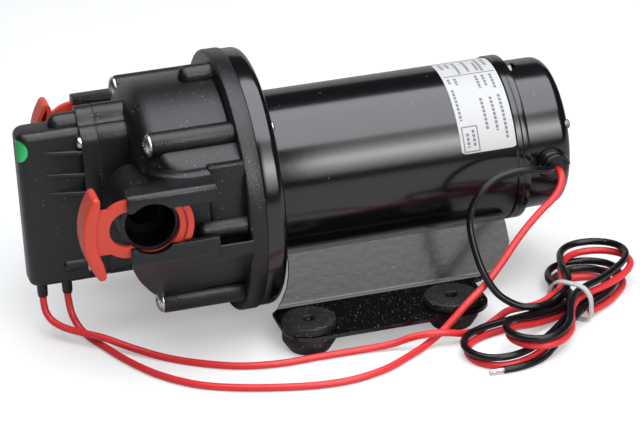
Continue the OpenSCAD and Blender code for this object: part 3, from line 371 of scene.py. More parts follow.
def hank_point(turn, black):
    c, sine = -math.cos(math.radians(turn)), math.sin(math.radians(turn))
    loops = RIGHT_LOOPS if c > 0 else LEFT_LOOPS
    reach, belly, aside = loops[int(turn // 360) if c > 0 else int(turn >= 540)]
    columns = [(90, 6.9 - 3.5 * black), (270, 3.4), (450, 1.8), (630, 1.8), (810, 6.2), (990, 6)]
    waist = columns[0][1] if turn < 90 else columns[-1][1]
    for (a, p), (b, q) in zip(columns, columns[1:]):
        if a <= turn < b:
            waist = p + (q - p) * (turn - a) / (b - a)
    s = (reach + black) * c
    u = (waist + (belly - waist) * 1.45 * c * c / (abs(c) + 0.45)) * sine
    aside = math.radians(aside + black * (3 if c > 0 else -1)) * ease(abs(s) / 26)
    bow, start = math.radians(HANK_BOW), math.radians(HANK_WAY)
    h = start + bow * s
    run = Vector(((math.sin(h) - math.sin(start)) / bow - u * math.sin(h),
        (math.cos(start) - math.cos(h)) / bow + u * math.cos(h), 0))
    run.rotate(Matrix.Rotation(aside, 3, "Z"))
    layer = 2 - 2 * ease((turn - 395) / 51) + black * ease((turn - 70) / 46)
    height = LEAD / 2 + layer * LAYER + 1.3 * math.exp(-(s / 16) ** 2)
    return Vector((*HANK_AT, height)) + run


def hank(last, black):
    count = math.ceil((last - FIRST_TURN) / 5)
    turns = [FIRST_TURN + (last - FIRST_TURN) * i / count for i in range(count + 1)]
    return [hank_point(turn, black) for turn in turns]


def heading_at(turn, black):
    return (hank_point(turn + 1, black) - hank_point(turn - 1, black)).normalized()


red_turns = hank(RED_LAST, 0)
black_turns = hank(BLACK_LAST, 1)
print("hank points", len(red_turns), "red and", len(black_turns), "black")

# %% [markdown]
# Routes of the leads
#
# Outside the hank, a route is a short list of pins that a hand could lay a lead round: out of the
# grommet or the sleeve, down, and along the floor. A Catmull-Rom spline runs through the pins, and
# meets the hank in the hank's own direction.

# %% Routes of the leads
def through(pins, steps=6):
    p = [Vector(q) for q in pins]
    p = [2 * p[0] - p[1]] + p + [2 * p[-1] - p[-2]]
    line = []
    for a, b, c, d in zip(p, p[1:], p[2:], p[3:]):
        for i in range(steps):
            t = i / steps
            line.append(0.5 * (2 * b + (c - a) * t + (2 * a - 5 * b + 4 * c - d) * t ** 2
                + (3 * b - a - 3 * c + d) * t ** 3))
    return line + [p[-2]]


def length_of(line):
    return sum((b - a).length for a, b in zip(line, line[1:]))


supply_pins = [(-126, 0, 18), (-126, 0, 15), (-125.6, -1.4, 11.2), (-123.6, -4.4, 8.2),
    (-119.4, -8.8, 6.4), (-113, -14.8, 5.8), (-106, -21.2, 5.2), (-97, -29, 3), (-86, -39, 1.5),
    (-74, -49, 1.5), (-60, -57, 1.5), (-45, -60.5, 1.5), (-29, -60.5, 1.5), (-12, -60.8, 1.5),
    (0, -62.4, 2.6), (8, -64.6, 5.2), (15, -66.6, 6.4), (22, -66.9, 5.6), (29, -65.4, 3.4),
    (36.5, -62.6, 2.4), (43, -60.6, 4.3), (48.5, -60.9, 7.6), (53.5, -62, 8.6), (58.2, -62.6, 9)]
link_pins = [(79.6, -35.5, 53.6), (79.6, -38.5, 53.5), (79, -41.8, 52.3), (77.2, -44.6, 49.8),
    (73.6, -46.4, 46.2), (68, -47.8, 42.4), (61.5, -49.8, 37.6), (55, -52.2, 32), (48, -55.2, 25.4),
    (40.5, -58.2, 19.4), (33, -60.5, 14.6), (26, -62, 9), (20, -63.4, 4.6), (13, -66.4, 1.9),
    (4, -72.6, 1.5), (-8, -80, 1.5), (-22, -84, 1.5), (-36, -83.5, 1.5), (-50, -80, 1.5),
    (-65, -74.5, 1.5), (-79, -66.5, 1.5), (-91, -53.5, 1.5), (-100, -37.5, 1.5), (-106, -22.5, 1.5),
    (-110.2, -11.8, 1.7), (-113.4, -5.8, 4.2), (-115.4, -1.8, 9), (-116, 0, 15), (-116, 0, 18)]
return_pins = [(76.2, -35.5, 55.6), (75.9, -38.6, 55.8), (74.6, -41.8, 56.5), (71.8, -44.6, 57.9),
    (67.6, -46.3, 59.5), (62.6, -47, 60.6), (56.5, -47.4, 60.8), (49.6, -47.8, 59.3),
    (43, -48.6, 54.9), (38.6, -49.6, 48.8), (37.2, -51.2, 42.8), (37.4, -55, 35.2), (39.2, -60, 26),
    (44, -63.4, 17), (51.6, -65.7, 11.6), (59, -66.2, 10.2)]
tail_pins = [(65.2, -80.8, 4.6), (58.6, -87.6, 3), (52.4, -92.4, 1.6), (46, -95.7, 1.5),
    (40, -97.1, 1.5), (34.5, -97.2, 1.5)]
red_first, black_first, black_last = red_turns[0], black_turns[0], black_turns[-1]
supply_line = through(supply_pins + [red_first - 5 * heading_at(FIRST_TURN, 0), red_first])
supply_line += red_turns[1:]
return_line = through(return_pins + [black_first - 4 * heading_at(FIRST_TURN, 1), black_first])
return_line += black_turns[1:]
return_line += through([black_last, black_last + 3 * heading_at(BLACK_LAST, 1)] + tail_pins)[1:]
link_line = through(link_pins)
print("lengths in mm", [round(length_of(a), 1) for a in (supply_line, link_line, return_line)])

# %% [markdown]
# Leads
#
# A lead is one curve with a round bevel, so its thickness is the same in every bend. It stands for
# all the CAD solids on its route.

# %% Leads
def lay_lead(name, line, material, nodes):
    curve = bpy.data.curves.new(name, "CURVE")
    curve.dimensions = "3D"
    curve.bevel_depth = LEAD / 2 * MM
    curve.bevel_resolution = 4
    curve.use_fill_caps = True
    spline = curve.splines.new("POLY")
    spline.points.add(len(line) - 1)
    for point, place in zip(spline.points, line):
        point.co = (*(place * MM), 1)
    spline.use_smooth = True
    curve.materials.append(material)
    lead = bpy.data.objects.new(name, curve)
    scene.collection.objects.link(lead)
    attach(lead, "pump")
    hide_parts(*nodes)
    print(name, len(line), "points")
    return lead


supply = lay_lead("supply_cord", supply_line, lead_red, ["supply_lead", "red_hank"])
link = lay_lead("link_cord", link_line, lead_red, ["link_lead"])
back_lead = lay_lead("return_cord", return_line, lead_black,
    ["return_lead", "black_hank", "return_tail"])

# %% [markdown]
# Tools for solid shapes
#
# Most mouldings here are either turned about an axis or pressed from a flat outline. `turn` spins
# a profile of (place along the axis, radius), about the motor axis unless another is given, and
# closes it into a ring unless it ends on the axis. `press` makes faces from outlines and extrudes
# them along an axis, so two halves that share an edge press as one. `rod` is a round bar to soften
# or carve with.

# %% Tools for solid shapes
AXIS = 56.0
X, Y, Z = (1, 0, 0), (0, 1, 0), (0, 0, 1)
WELD = 0.001


def arc(cx, cy, radius, first, last, count=10):
    angles = [math.radians(first + (last - first) * i / count) for i in range(count + 1)]
    return [(cx + radius * math.cos(a), cy + radius * math.sin(a)) for a in angles]


def round_box(x0, y0, x1, y1, r, count=6):
    return (arc(x1 - r, y1 - r, r, 0, 90, count) + arc(x0 + r, y1 - r, r, 90, 180, count)
        + arc(x0 + r, y0 + r, r, 180, 270, count) + arc(x1 - r, y0 + r, r, 270, 360, count))


def spot(along, p, q, depth):
    return {"x": (depth, p, q), "y": (p, depth, q), "z": (p, q, depth)}[along]


def only_verts(geom):
    return [g for g in geom if isinstance(g, bmesh.types.BMVert)]


def faces_of(verts):
    return list({f for v in verts for f in v.link_faces})


def outward(bm, verts):
    bmesh.ops.recalc_face_normals(bm, faces=faces_of(verts))


def turn(bm, profile, steps=128, axis=X, centre=(0, 0, AXIS), arm=Z):
    axis, centre, arm = Vector(axis), Vector(centre), Vector(arm)
    ring = [bm.verts.new(centre + axis * a + arm * r) for a, r in profile]
    ends_off_axis = profile[-1][1] > 0
    pairs = list(zip(ring, ring[1:])) + ([(ring[-1], ring[0])] if ends_off_axis else [])
    lines = [bm.edges.new(p) for p in pairs]
    before = set(bm.verts) - set(ring)
    bmesh.ops.spin(bm, geom=ring + lines, cent=centre, axis=axis, dvec=(0, 0, 0),
        angle=2 * math.pi, steps=steps, use_merge=True)
    bmesh.ops.remove_doubles(bm, verts=[v for v in bm.verts if v not in before], dist=WELD)
    made = [v for v in bm.verts if v not in before]
    outward(bm, made)
    return made


def press(bm, outlines, along, low, high):
    before = set(bm.verts)
    faces = [bm.faces.new([bm.verts.new(spot(along, p, q, low)) for p, q in line])
        for line in outlines]
    bmesh.ops.remove_doubles(bm, verts=[v for v in bm.verts if v not in before], dist=WELD)
    faces = [f for f in faces if f.is_valid]
    lifted = only_verts(bmesh.ops.extrude_face_region(bm, geom=faces)["geom"])
    bmesh.ops.translate(bm, verts=lifted, vec=spot(along, 0, 0, high - low))
    made = [v for v in bm.verts if v not in before]
    outward(bm, made)
    return made


def rod(bm, along, low, high, p, q, radius, segments=40):
    turned = {"x": Matrix.Rotation(math.pi / 2, 4, "Y"), "y": Matrix.Rotation(-math.pi / 2, 4, "X"),
        "z": Matrix.Identity(4)}[along]
    middle = Matrix.Translation(spot(along, p, q, (low + high) / 2))
    return bmesh.ops.create_cone(bm, cap_ends=True, cap_tris=False, segments=segments,
        radius1=radius, radius2=radius, depth=high - low, matrix=middle @ turned)["verts"]


print("tools made:", turn.__name__, press.__name__, rod.__name__)

# %% [markdown]
# Tools for edges, copies and cuts
#
# `soften` bevels the edges that are sharper than an angle, where a test lets it. `slice_at` cuts a
# flat sheet into strips so that it can bend, and `carve` takes one shape out of another with a
# Boolean. `other_side` mirrors a shape across the motor axis.

# %% Tools for edges, copies and cuts
def soften(bm, verts, size, segments=3, angle=35, where=None, clamp=True):
    pool = {v for v in verts if v.is_valid}
    edges = {e for v in pool for e in v.link_edges
        if e.other_vert(v) in pool and len(e.link_faces) == 2}
    sharp = [e for e in edges if e.calc_face_angle(0) > math.radians(angle)
        and (where is None or where((e.verts[0].co + e.verts[1].co) / 2))]
    before = set(bm.verts) - pool
    bmesh.ops.bevel(bm, geom=sharp, offset=size, segments=segments, profile=0.5, affect="EDGES",
        material=-1, clamp_overlap=clamp)
    return [v for v in bm.verts if v not in before]


def about_axis(bm, verts, degrees):
    bmesh.ops.rotate(bm, verts=verts, cent=(0, 0, AXIS),
        matrix=Matrix.Rotation(math.radians(degrees), 3, "X"))


def copy_of(bm, verts):
    faces = faces_of(verts)
    edges = list({e for f in faces for e in f.edges})
    return only_verts(bmesh.ops.duplicate(bm, geom=list(verts) + edges + faces)["geom"])


def other_side(bm, verts):
    copied = copy_of(bm, verts)
    bmesh.ops.scale(bm, vec=(1, -1, 1), verts=copied)
    outward(bm, copied)


def slice_at(bm, place, facing, clear=False):
    return bmesh.ops.bisect_plane(bm, geom=bm.verts[:] + bm.edges[:] + bm.faces[:],
        plane_co=place, plane_no=facing, clear_outer=clear)["geom_cut"]


def join(bm, other):
    mesh = bpy.data.meshes.new("spare")
    other.to_mesh(mesh)
    other.free()
    before = set(bm.verts)
    bm.from_mesh(mesh)
    bpy.data.meshes.remove(mesh)
    return [v for v in bm.verts if v not in before]


def carve(bm, cutter):
    meshes = [bpy.data.meshes.new("block"), bpy.data.meshes.new("cutter")]
    bm.to_mesh(meshes[0])
    cutter.to_mesh(meshes[1])
    bm.free()
    cutter.free()
    block, tool = [bpy.data.objects.new(m.name, m) for m in meshes]
    scene.collection.objects.link(block)
    scene.collection.objects.link(tool)
    cut = block.modifiers.new("cut", "BOOLEAN")
    cut.operation = "DIFFERENCE"
    cut.solver = "EXACT"
    cut.object = tool
    result = bmesh.new()
    result.from_object(block, bpy.context.evaluated_depsgraph_get())
    for thing in (block, tool):
        bpy.data.objects.remove(thing)
    return result


print("tools made:", soften.__name__, slice_at.__name__, carve.__name__)

# %% [markdown]
# Finishing a piece
#
# `finish` scales the millimetres to metres, shades the mesh smooth between its sharp edges, and
# gives the piece its materials and its body, and hides the CAD nodes that it stands for.
# `repaint` gives some faces the second material of their piece.

# %% Finishing a piece
def repaint(faces):
    for face in faces:
        face.material_index = 1


def finish(bm, name, looks, slot, body="pump", nodes=(), crease=30):
    bmesh.ops.scale(bm, vec=(MM, MM, MM), verts=bm.verts)
    mesh = bpy.data.meshes.new(name)
    bm.to_mesh(mesh)
    bm.free()
    mesh.polygons.foreach_set("use_smooth", [True] * len(mesh.polygons))
    mesh.set_sharp_from_angle(angle=math.radians(crease))
    for look in looks:
        mesh.materials.append(look)
    piece = bpy.data.objects.new(name, mesh)
    scene.collection.objects.link(piece)
    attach(piece, body)
    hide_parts(*nodes)
    print(name, len(mesh.polygons), "faces")
    return piece


print("tools made:", repaint.__name__, finish.__name__)

# %% [markdown]
# Cable tie
#
# The tie is a flat nylon band round the hank: a rounded outline with a smaller one inside, bridged
# into a ring and pressed to the band's width. It is made across X and turned to lie across the
# hank.

# %% Cable tie
TIE_WIDTH = 2.4
bm = bmesh.new()
loops = []
for inset in (0, 1):
    line = (arc(3.3, 8.8, 7 - inset, 0, 90, 10) + arc(-2.6, 8.8, 7 - inset, 90, 180, 10)
        + arc(-5.6, 4.1, 4 - inset, 180, 270, 6) + arc(6.3, 4.1, 4 - inset, 270, 360, 6))
    ring = [bm.verts.new((-TIE_WIDTH / 2, p, q)) for p, q in line]
    loops += [bm.edges.new(pair) for pair in zip(ring, ring[1:] + ring[:1])]
band = bmesh.ops.bridge_loops(bm, edges=loops)["faces"]
lifted = only_verts(bmesh.ops.extrude_face_region(bm, geom=band)["geom"])
bmesh.ops.translate(bm, vec=(TIE_WIDTH, 0, 0), verts=lifted)
outward(bm, bm.verts)
soften(bm, bm.verts, 0.25, 2, 60)
bmesh.ops.rotate(bm, verts=bm.verts, cent=(0, 0, 0),
    matrix=Matrix.Rotation(math.radians(HANK_WAY), 3, "Z"))
bmesh.ops.translate(bm, verts=bm.verts, vec=(*HANK_AT, 0))
tie = finish(bm, "cable_tie_band", [tie_white], "tie", nodes=["cable_tie"])

# %% [markdown]
# Bare end
#
# The black lead ends in a few tinned strands, each a little circle that is extruded in steps and
# turned a few degrees at every step.

# %% Bare end
STRANDS, STRAND_R, STRAND_OUT = 7, 0.3, 0.62
STEP_LENGTH, STEP_TWIST = 0.59, 0.16
tip = return_line[-1]
way = (return_line[-1] - return_line[-2]).normalized()
side = way.cross(Vector(Z)).normalized()
bm = bmesh.new()
for strand in range(STRANDS):
    ring = bmesh.ops.create_circle(bm, segments=10, radius=STRAND_R, cap_ends=True)["verts"]
    if strand < STRANDS - 1:
        angle = strand * math.pi / 3
        bmesh.ops.translate(bm, verts=ring,
            vec=(STRAND_OUT * math.cos(angle), STRAND_OUT * math.sin(angle), 0))
    face = ring[0].link_faces[0]
    for step in range(10):
        face = bmesh.ops.extrude_discrete_faces(bm, faces=[face])["faces"][0]
        bmesh.ops.translate(bm, verts=face.verts, vec=(0, 0, STEP_LENGTH))
        bmesh.ops.rotate(bm, verts=face.verts, cent=(0, 0, 0),
            matrix=Matrix.Rotation(STEP_TWIST, 3, "Z"))
lead_frame = Matrix((side, way.cross(side), way)).transposed()
bmesh.ops.rotate(bm, verts=bm.verts, cent=(0, 0, 0), matrix=lead_frame)
bmesh.ops.translate(bm, verts=bm.verts, vec=tip)
outward(bm, bm.verts)
bare = finish(bm, "bare_strands", [steel], "steel", nodes=["bare_end"])

# %% [markdown]
# Motor can
#
# The can is drawn from steel and painted, so it is a turned tube. At the rear it flares into a rim
# with a fine double line.

# %% Motor can
CAN_R = 33
bm = bmesh.new()
can = turn(bm, [(-36, CAN_R), (63.6, CAN_R), (64.3, 33.6), (66.2, 33.6), (66.5, 33.35),
    (66.8, 33.6), (69.3, 33.6), (69.3, 31.4), (-36, 31.4)], 192)
soften(bm, can, 0.25, 2, 50)
finish(bm, "can_shell", [paint], "gloss_paint", nodes=["motor_can"])

# %% [markdown]
# Label
#
# The label is laid out flat, as place along X and degrees round the can: a sheet with round
# corners, rows of short ruled bars and a box in grey ink. It is sliced into strips and bent round
# the can.

# %% Label
FILM, INK_LOW, INK_TOP, LABEL_GAP = 0.12, 0.08, 0.15, 0.04
bm = bmesh.new()
press(bm, [round_box(41, -13, 64, 75, 2.4, 8)], "y", 0, FILM)
rules = [(41.8, 63.2, 12.5, 13.3), (42.1, 48.8, 56.2, 57), (42.1, 48.8, 73.4, 74.2),
    (42.1, 42.6, 56.2, 74.2), (48.3, 48.8, 56.2, 74.2)]
rows = ((60.5, 16, 31), (60.6, 36, 68), (57.3, 16, 28), (57, 37, 62), (54.5, 16, 29),
    (53, 37, 61), (45.8, 16, 23), (43.1, 16, 21), (42.9, 27, 52), (46.8, 59, 71), (44.3, 61, 71),
    (61.2, -9, 4), (58.6, -9, 11), (56.8, -3, 10), (53.1, -9, 10), (49.1, -9, 11), (46.2, -9, 1),
    (43.6, -9, 2))
for x, first, last in rows:
    rules += [(x - 0.55, x + 0.55, a, min(a + 2.2, last)) for a in range(first, last, 3)]
for x0, x1, a0, a1 in rules:
    bar = press(bm, [[(x0, a0), (x1, a0), (x1, a1), (x0, a1)]], "y", INK_LOW, INK_TOP)
    repaint(faces_of(bar))
for degrees in range(-12, 75, 2):
    slice_at(bm, (0, 0, degrees), Z)
for v in bm.verts:
    turned, lift = math.radians(v.co.z), CAN_R + LABEL_GAP + v.co.y
    v.co = (v.co.x, -lift * math.sin(turned), AXIS + lift * math.cos(turned))
outward(bm, bm.verts)
finish(bm, "label_sheet", [label_white, ink], "label", nodes=["rating_label"])

# %% [markdown]
# End cap
#
# The end cap is turned with a large soft rear edge. A pocket is carved at the top for the through
# bolt's head, and a small steel nub stands on the rear. The nub is in the darker steel, which is
# painted shade.

# %% End cap
bm = bmesh.new()
cap = turn(bm, [(66, 31.2), (69.3, 31.2), (69.35, 30.5), (88, 30.5), (88, 0), (84, 0), (84, 26),
    (66, 26)], 192)
soften(bm, cap, 4.5, 10, 50, lambda p: p.x > 87.9)
tool = bmesh.new()
pocket = rod(tool, "x", 69.5, 74.2, 0, AXIS + 29.5, 3.6)
about_axis(tool, pocket, 3)
bm = carve(bm, tool)
nub = rod(bm, "x", 83, 88.4, -25, AXIS + 11.9, 1.9)
nub = soften(bm, nub, 0.6, 3, 50)
# The nub's faces take the darker steel, painted shade.
repaint(faces_of(nub))
finish(bm, "end_cap", [cap_black, steel_painted_shade], "cap_plastic", nodes=["motor_end_cap"])

# %% [markdown]
# Grommet
#
# The grommet is a round vinyl flange in the can's side, with a hood over its mouth, where two
# leads come out.

# %% Grommet
GROMMET_X, GROMMET_Z = 78.5, 54.6
bm = bmesh.new()
turn(bm, [(-27, 3.2), (-30.4, 3.2), (-30.6, 6.5), (-33.6, 6.5), (-34.4, 6.2), (-34.8, 5.6),
    (-35, 4.6), (-35.5, 4.3), (-35.5, 0), (-27, 0)], 56, Y, (GROMMET_X, 0, GROMMET_Z), X)
hood = arc(0, 0, 6, 12, 168, 18) + arc(0, 0, 4.4, 166, 14, 18)
hood = press(bm, [[(GROMMET_X + p, GROMMET_Z + q) for p, q in hood]], "y", -38, -34.6)
soften(bm, hood, 0.45, 3, 50)
finish(bm, "grommet", [vinyl], "rubber", nodes=["lead_grommet"])

# %% [markdown]
# Front cup
#
# The painted cup between motor and head is turned, with a soft rear rim that catches the light.

# %% Front cup
def off_axis(p):
    return math.hypot(p.y, p.z - AXIS)


bm = bmesh.new()
cup = turn(bm, [(-44.4, 52), (-36, 52), (-36, 7), (-40, 7), (-40, 42), (-44.4, 42)], 192)
soften(bm, cup, 3.4, 8, 50, lambda p: p.x > -36.1 and off_axis(p) > 50)
soften(bm, cup, 0.5, 2, 50, lambda p: p.x < -44.3 and off_axis(p) > 50)
finish(bm, "cup", [paint], "gloss_paint", nodes=["front_cup"])

# %% [markdown]
# Pump head: bell and bosses
#
# The head is one moulding, built up from overlapping solids. It starts with the turned bell and
# its flange. Below the middle, the bell's front shoulder is drawn back to a rounder curve, point
# by point. The ports' bores are carved out, and then come four screw bosses and four short blind
# ones.

# %% Pump head: bell and bosses
PORT_X, PORT_Z = -90, 65.5
BORE_R, BORE_FLOOR = 10.6, 38.7
FLANGE_X = -51.6
SCREW_CIRCLE = 46.5
bm = bmesh.new()
bell = turn(bm, [(-88.6, 0), (-88.6, 45.4), (FLANGE_X, 45.4), (FLANGE_X, 52.7), (-44.5, 52.7),
    (-44.5, 42), (-80, 42), (-80, 0)], 192)
soften(bm, bell, 9.8, 12, 50, lambda p: p.x < -88.5)
soften(bm, bm.verts, 1.2, 4, 50, lambda p: abs(p.x - FLANGE_X) < 0.1)
soften(bm, bm.verts, 0.4, 2, 50, lambda p: p.x > -44.6)
SHOULDER_X, SHOULDER_FROM, SHOULDER_R = -72.6, 29.4, 16
for v in bm.verts:
    past = off_axis(v.co) - SHOULDER_FROM
    if past > 0:
        front = SHOULDER_X - math.sqrt(max(0, SHOULDER_R ** 2 - past ** 2))
        v.co.x += ease((50 - v.co.z) / 12) * max(0, front - v.co.x)
for s in (-1, 1):
    tool = bmesh.new()
    turn(tool, [(s * 60, 0), (s * 60, BORE_R), (s * BORE_FLOOR, BORE_R), (s * BORE_FLOOR, 6.6),
        (s * 14, 6.6), (s * 14, 0)], 64, Y, (PORT_X, 0, PORT_Z), X)
    bm = carve(bm, tool)
for degrees in (45, 135, 225, 315):
    boss = rod(bm, "x", -84, -51, 0, AXIS + SCREW_CIRCLE, 4.9)
    boss = soften(bm, boss, 0.5, 2, 50)
    about_axis(bm, boss, degrees)
for degrees, length in ((0, 13), (180, 13), (90, 20), (270, 20)):
    boss = rod(bm, "x", FLANGE_X - length, -51, 0, AXIS + 46.1, 4.4)
    boss = soften(bm, boss, 3.6, 6, 50, lambda p, n=length: p.x < -51.5 - n)
    about_axis(bm, boss, degrees)
print("bell and bosses", len(bm.faces), "faces")

# %% [markdown]
# Pump head: cheek and clip rails
#
# On each side a flat cheek with a sloping, rounded top carries the port. Two rails with shelves
# hold the clip, and a fillet and a pad join the cheek to the bell. The near side is made here, and
# its points are listed for the mirror.

# %% Pump head: cheek and clip rails
RAIL_X0, RAIL_X1 = -98.9, -64.5
CHEEK_Y, CHEEK_X, CHEEK_R = -34.3, -71, 12


def at_port(points, rise=1, z=PORT_Z):
    return [(PORT_X + p, z + rise * q) for p, q in points]


cheek = bmesh.new()
plan = [(-83, -30), (-51, -30), (-51, -46.3)] + arc(CHEEK_X, CHEEK_Y, CHEEK_R, 270, 180, 14)
press(cheek, [plan], "z", 49, 93)
cut = slice_at(cheek, (0, -46.3, 80.4), (0, -0.7, 1), clear=True)
bmesh.ops.edgeloop_fill(cheek, edges=[g for g in cut if isinstance(g, bmesh.types.BMEdge)])
outward(cheek, cheek.verts)
soften(cheek, cheek.verts, 4, 8, 25, lambda p: p.y < -31 and p.x < -52 and p.z > 60, clamp=False)
tool = bmesh.new()
rod(tool, "y", -60, -BORE_FLOOR, PORT_X, PORT_Z, BORE_R, segments=64)
side = join(bm, carve(cheek, tool))
for rise in (1, -1):
    lip = ([(RAIL_X0, PORT_Z + rise * 7.4)] + at_port(arc(0, 0, 10, 132.3, 47.7, 14), rise)
        + [(RAIL_X1, PORT_Z + rise * 7.4), (RAIL_X1, PORT_Z + rise * 14.2),
        (RAIL_X0, PORT_Z + rise * 14.2)])
    rail = press(bm, [lip], "y", -58.5, -55.8)
    rail = soften(bm, rail, 2.2, 6, 50, lambda p: p.y < -58.4 and p.z > 79.6)
    side += soften(bm, rail, 0.5, 2, 50)
    notch = arc(0, 0, 11, 63, 117, 8) + [(-5, 13.2), (5, 13.2)]
    side += press(bm, [at_port(notch, rise)], "y", -52.6, -45.4)
upper = [(RAIL_X0, -57), (RAIL_X1, -57), (RAIL_X1, -45.4), (-84, -45.4), (-92, -46.5),
    (RAIL_X0, -50)]
lower = [(RAIL_X0, -58), (RAIL_X1, -58), (RAIL_X1, -45.4), (RAIL_X0, -45.4)]
for outline, z in ((upper, 77.7), (lower, 51.3)):
    shelf = press(bm, [outline], "z", z, z + 2)
    side += soften(bm, shelf, 0.4, 2, 50)
fillet = arc(-49.6, 82.9, 3.2, 270, 330, 6)
side += press(bm, [[(-43, 76), (-49.6, 76)] + fillet + [(-43, 81.6)]], "x", CHEEK_X, -64.6)
swept = [(q, CHEEK_Y - p) for p, q in fillet]
side += turn(bm, [(76, 0), (76, 15.3)] + swept + [(81.6, 8.7), (81.6, 0)], 64, Z,
    (CHEEK_X, CHEEK_Y, 0), X)
pad = press(bm, [[(-40, 50), (-47.4, 50), (-47.4, 81.6), (-46.9, 82.3), (-45.6, 82.6),
    (-43.5, 82.3), (-40, 82.3)]], "x", -65, -51)
side += soften(bm, pad, 0.5, 2, 50)
print("cheek and rails", len(side), "points")

# %% [markdown]
# Pump head: web, socket and mirror
#
# Under the rails a thin web slopes in to the bell. It is sliced so that its front edge can curve
# and its upper corner can drop. The socket is turned about the port's axis. The side is then
# mirrored, a rounded block for the pressure switch is added in front, and the bores get a darker
# black with little gloss: painted shade for the deep holes.

# %% Pump head: web, socket and mirror
web = bmesh.new()
press(web, [[(-58.5, 51.3), (-55.8, 53.3), (-35, 31.2), (-38.6, 28.5)]], "x", RAIL_X0, -51)
for z in range(33, 51, 3):
    slice_at(web, (0, 0, z), Z)
for x in (-65, RAIL_X1):
    slice_at(web, (x, 0, 0), X)
for v in web.verts:
    if v.co.x > -64.6 and v.co.z < 51.5 and v.co.y < -58:
        v.co.y, v.co.z = -56.2, 52.9
    if v.co.x < -66:
        if v.co.z < 32:
            v.co += Vector((0, 1.7, -2))
        down = max(0, 51.3 - v.co.z)
        v.co.x += 0.18 * down + 0.0152 * down ** 2
soften(web, web.verts, 0.5, 2, 40)
side += join(bm, web)
socket = turn(bm, [(-52.6, 9.5), (-52.6, 12), (-21, 12), (-21, 6), (-38.6, 6), (-38.6, 9.5)], 64,
    Y, (PORT_X, 0, PORT_Z), X)
side += soften(bm, socket, 0.5, 2, 50, lambda p: p.y < -52)
other_side(bm, [v for v in set(side) if v.is_valid])

half_round = arc(0, 90.6, 5.6, 160, 20, 12)
block_line = (arc(8, 31, 4, 270, 360, 6) + arc(6, 84.6, 6, 0, 90, 8)
    + arc(8.06, 93.6, 3, 270, 200.4, 5)[1:-1] + half_round[::-1]
    + arc(-8.06, 93.6, 3, 339.6, 270, 5)[1:-1] + arc(-6, 84.6, 6, 90, 180, 8)
    + arc(-8, 31, 4, 180, 270, 6))
block = press(bm, [block_line], "x", -99.9, -84)
soften(bm, block, 0.5, 2, 60, lambda p: p.x < -99.8)


def in_bore(p):
    return math.hypot(p.x - PORT_X, p.z - PORT_Z) < BORE_R + 0.1 and abs(p.y) > 13.5


# The faces inside the bores take the darker black, painted shade.
repaint([f for f in bm.faces if all(in_bore(v.co) for v in f.verts)])
finish(bm, "head_moulding", [head_black, bore_painted_shade], "head_plastic", nodes=["pump_head"])

# %% [markdown]
# Head screws
#
# Pan-head screws are turned from a domed profile, and the cross recess is carved with a thin
# cross. One screw is made and turned to its boss, and three copies follow it round.

# %% Head screws
bm = bmesh.new()
turn(bm, [(-86.6, 0), (-86.5, 1.4), (-86, 3), (-85.2, 4.2), (-84.6, 4.5), (-84.1, 4.5),
    (-84.05, 2.1), (-35.6, 2.1), (-35, 1.5), (-35, 0)], 40, centre=(0, 0, AXIS + SCREW_CIRCLE))
tool = bmesh.new()
arm = [(2.3, 0.5), (0.5, 0.5), (0.5, 2.3)]
cross = [(p * c - q * d, p * d + q * c) for c, d in ((1, 0), (0, 1), (-1, 0), (0, -1))
    for p, q in arm]
recess = press(tool, [cross], "x", -88, -85.4)
bmesh.ops.translate(tool, verts=recess, vec=(0, 0, AXIS + SCREW_CIRCLE))
bm = carve(bm, tool)
first = list(bm.verts)
about_axis(bm, first, 45)
for degrees in (90, 180, 270):
    about_axis(bm, copy_of(bm, first), degrees)
finish(bm, "pan_screws", [steel], "steel", nodes=["head_screws"])

# %% [markdown]
# Port clips
#
# Each clip is a flat keyhole plate with a thick hollow grip. The plate's upper and lower halves
# meet on the centre line, so the keyhole needs no cutting: both halves are faces with a shared
# edge that are pressed together. The far clip is the near one mirrored.

# %% Port clips
GRIP_Z = 63.4


def clip_piece(name, body, nodes, mirrored):
    bm = bmesh.new()
    outer = ([(-23.5, 0), (-23.5, 8.8), (-16.4, 8.8)] + arc(-9, 0, 11.5, 130.1, 94, 6)[1:]
        + [(-8, 11.9), (11.3, 11.9)] + arc(0, 0, 16.4, 46.5, 0, 10)[1:])
    inner = arc(0, 0, 11, 0, 138.4, 20) + arc(-9, 0, 7.4, 84, 180, 14)
    plate = press(bm, [at_port(outer + inner, rise) for rise in (1, -1)], "y", -55.5, -52.9)
    soften(bm, plate, 0.5, 3, 40)
    bow = arc(0, 0, 16.3, -25, 25, 14) + arc(0, 0, 13.6, 30, -30, 14)
    bow = press(bm, [at_port(bow)], "y", -57, -55)
    soften(bm, bow, 0.7, 3, 40)
    grip_line = (arc(2, 0, 29, 147.5, 212.5, 18)[:-1] + arc(-20.68, -15.19, 1.82, 192.4, 372.4, 10)
        + arc(5.9, 0, 27.5, 202.5, 157.5, 14) + arc(-20.68, 15.19, 1.82, -12.4, 167.6, 10)[:-1])
    grip = press(bm, [at_port(grip_line, z=GRIP_Z)], "y", -57, -45.5)
    back = [f for f in faces_of(grip) if f.normal.y > 0.9]
    bmesh.ops.inset_region(bm, faces=back, thickness=1.6, depth=0)
    floor_verts = only_verts(bmesh.ops.extrude_face_region(bm, geom=back)["geom"])
    bmesh.ops.translate(bm, vec=(0, -9, 0), verts=floor_verts)
    bmesh.ops.delete(bm, geom=[f for f in back if f.is_valid], context="FACES_ONLY")
    soften(bm, bm.verts, 1.2, 5, 50, lambda p: p.y < -56.9 and p.x < -106)
    if mirrored:
        bmesh.ops.scale(bm, vec=(1, -1, 1), verts=bm.verts)
    outward(bm, bm.verts)
    finish(bm, name, [clip_red], "clip_plastic", body, nodes)


clip_piece("near_clip", "inlet_clip", ["inlet_clip"], False)
clip_piece("far_clip", "outlet_clip", ["outlet_clip"], True)

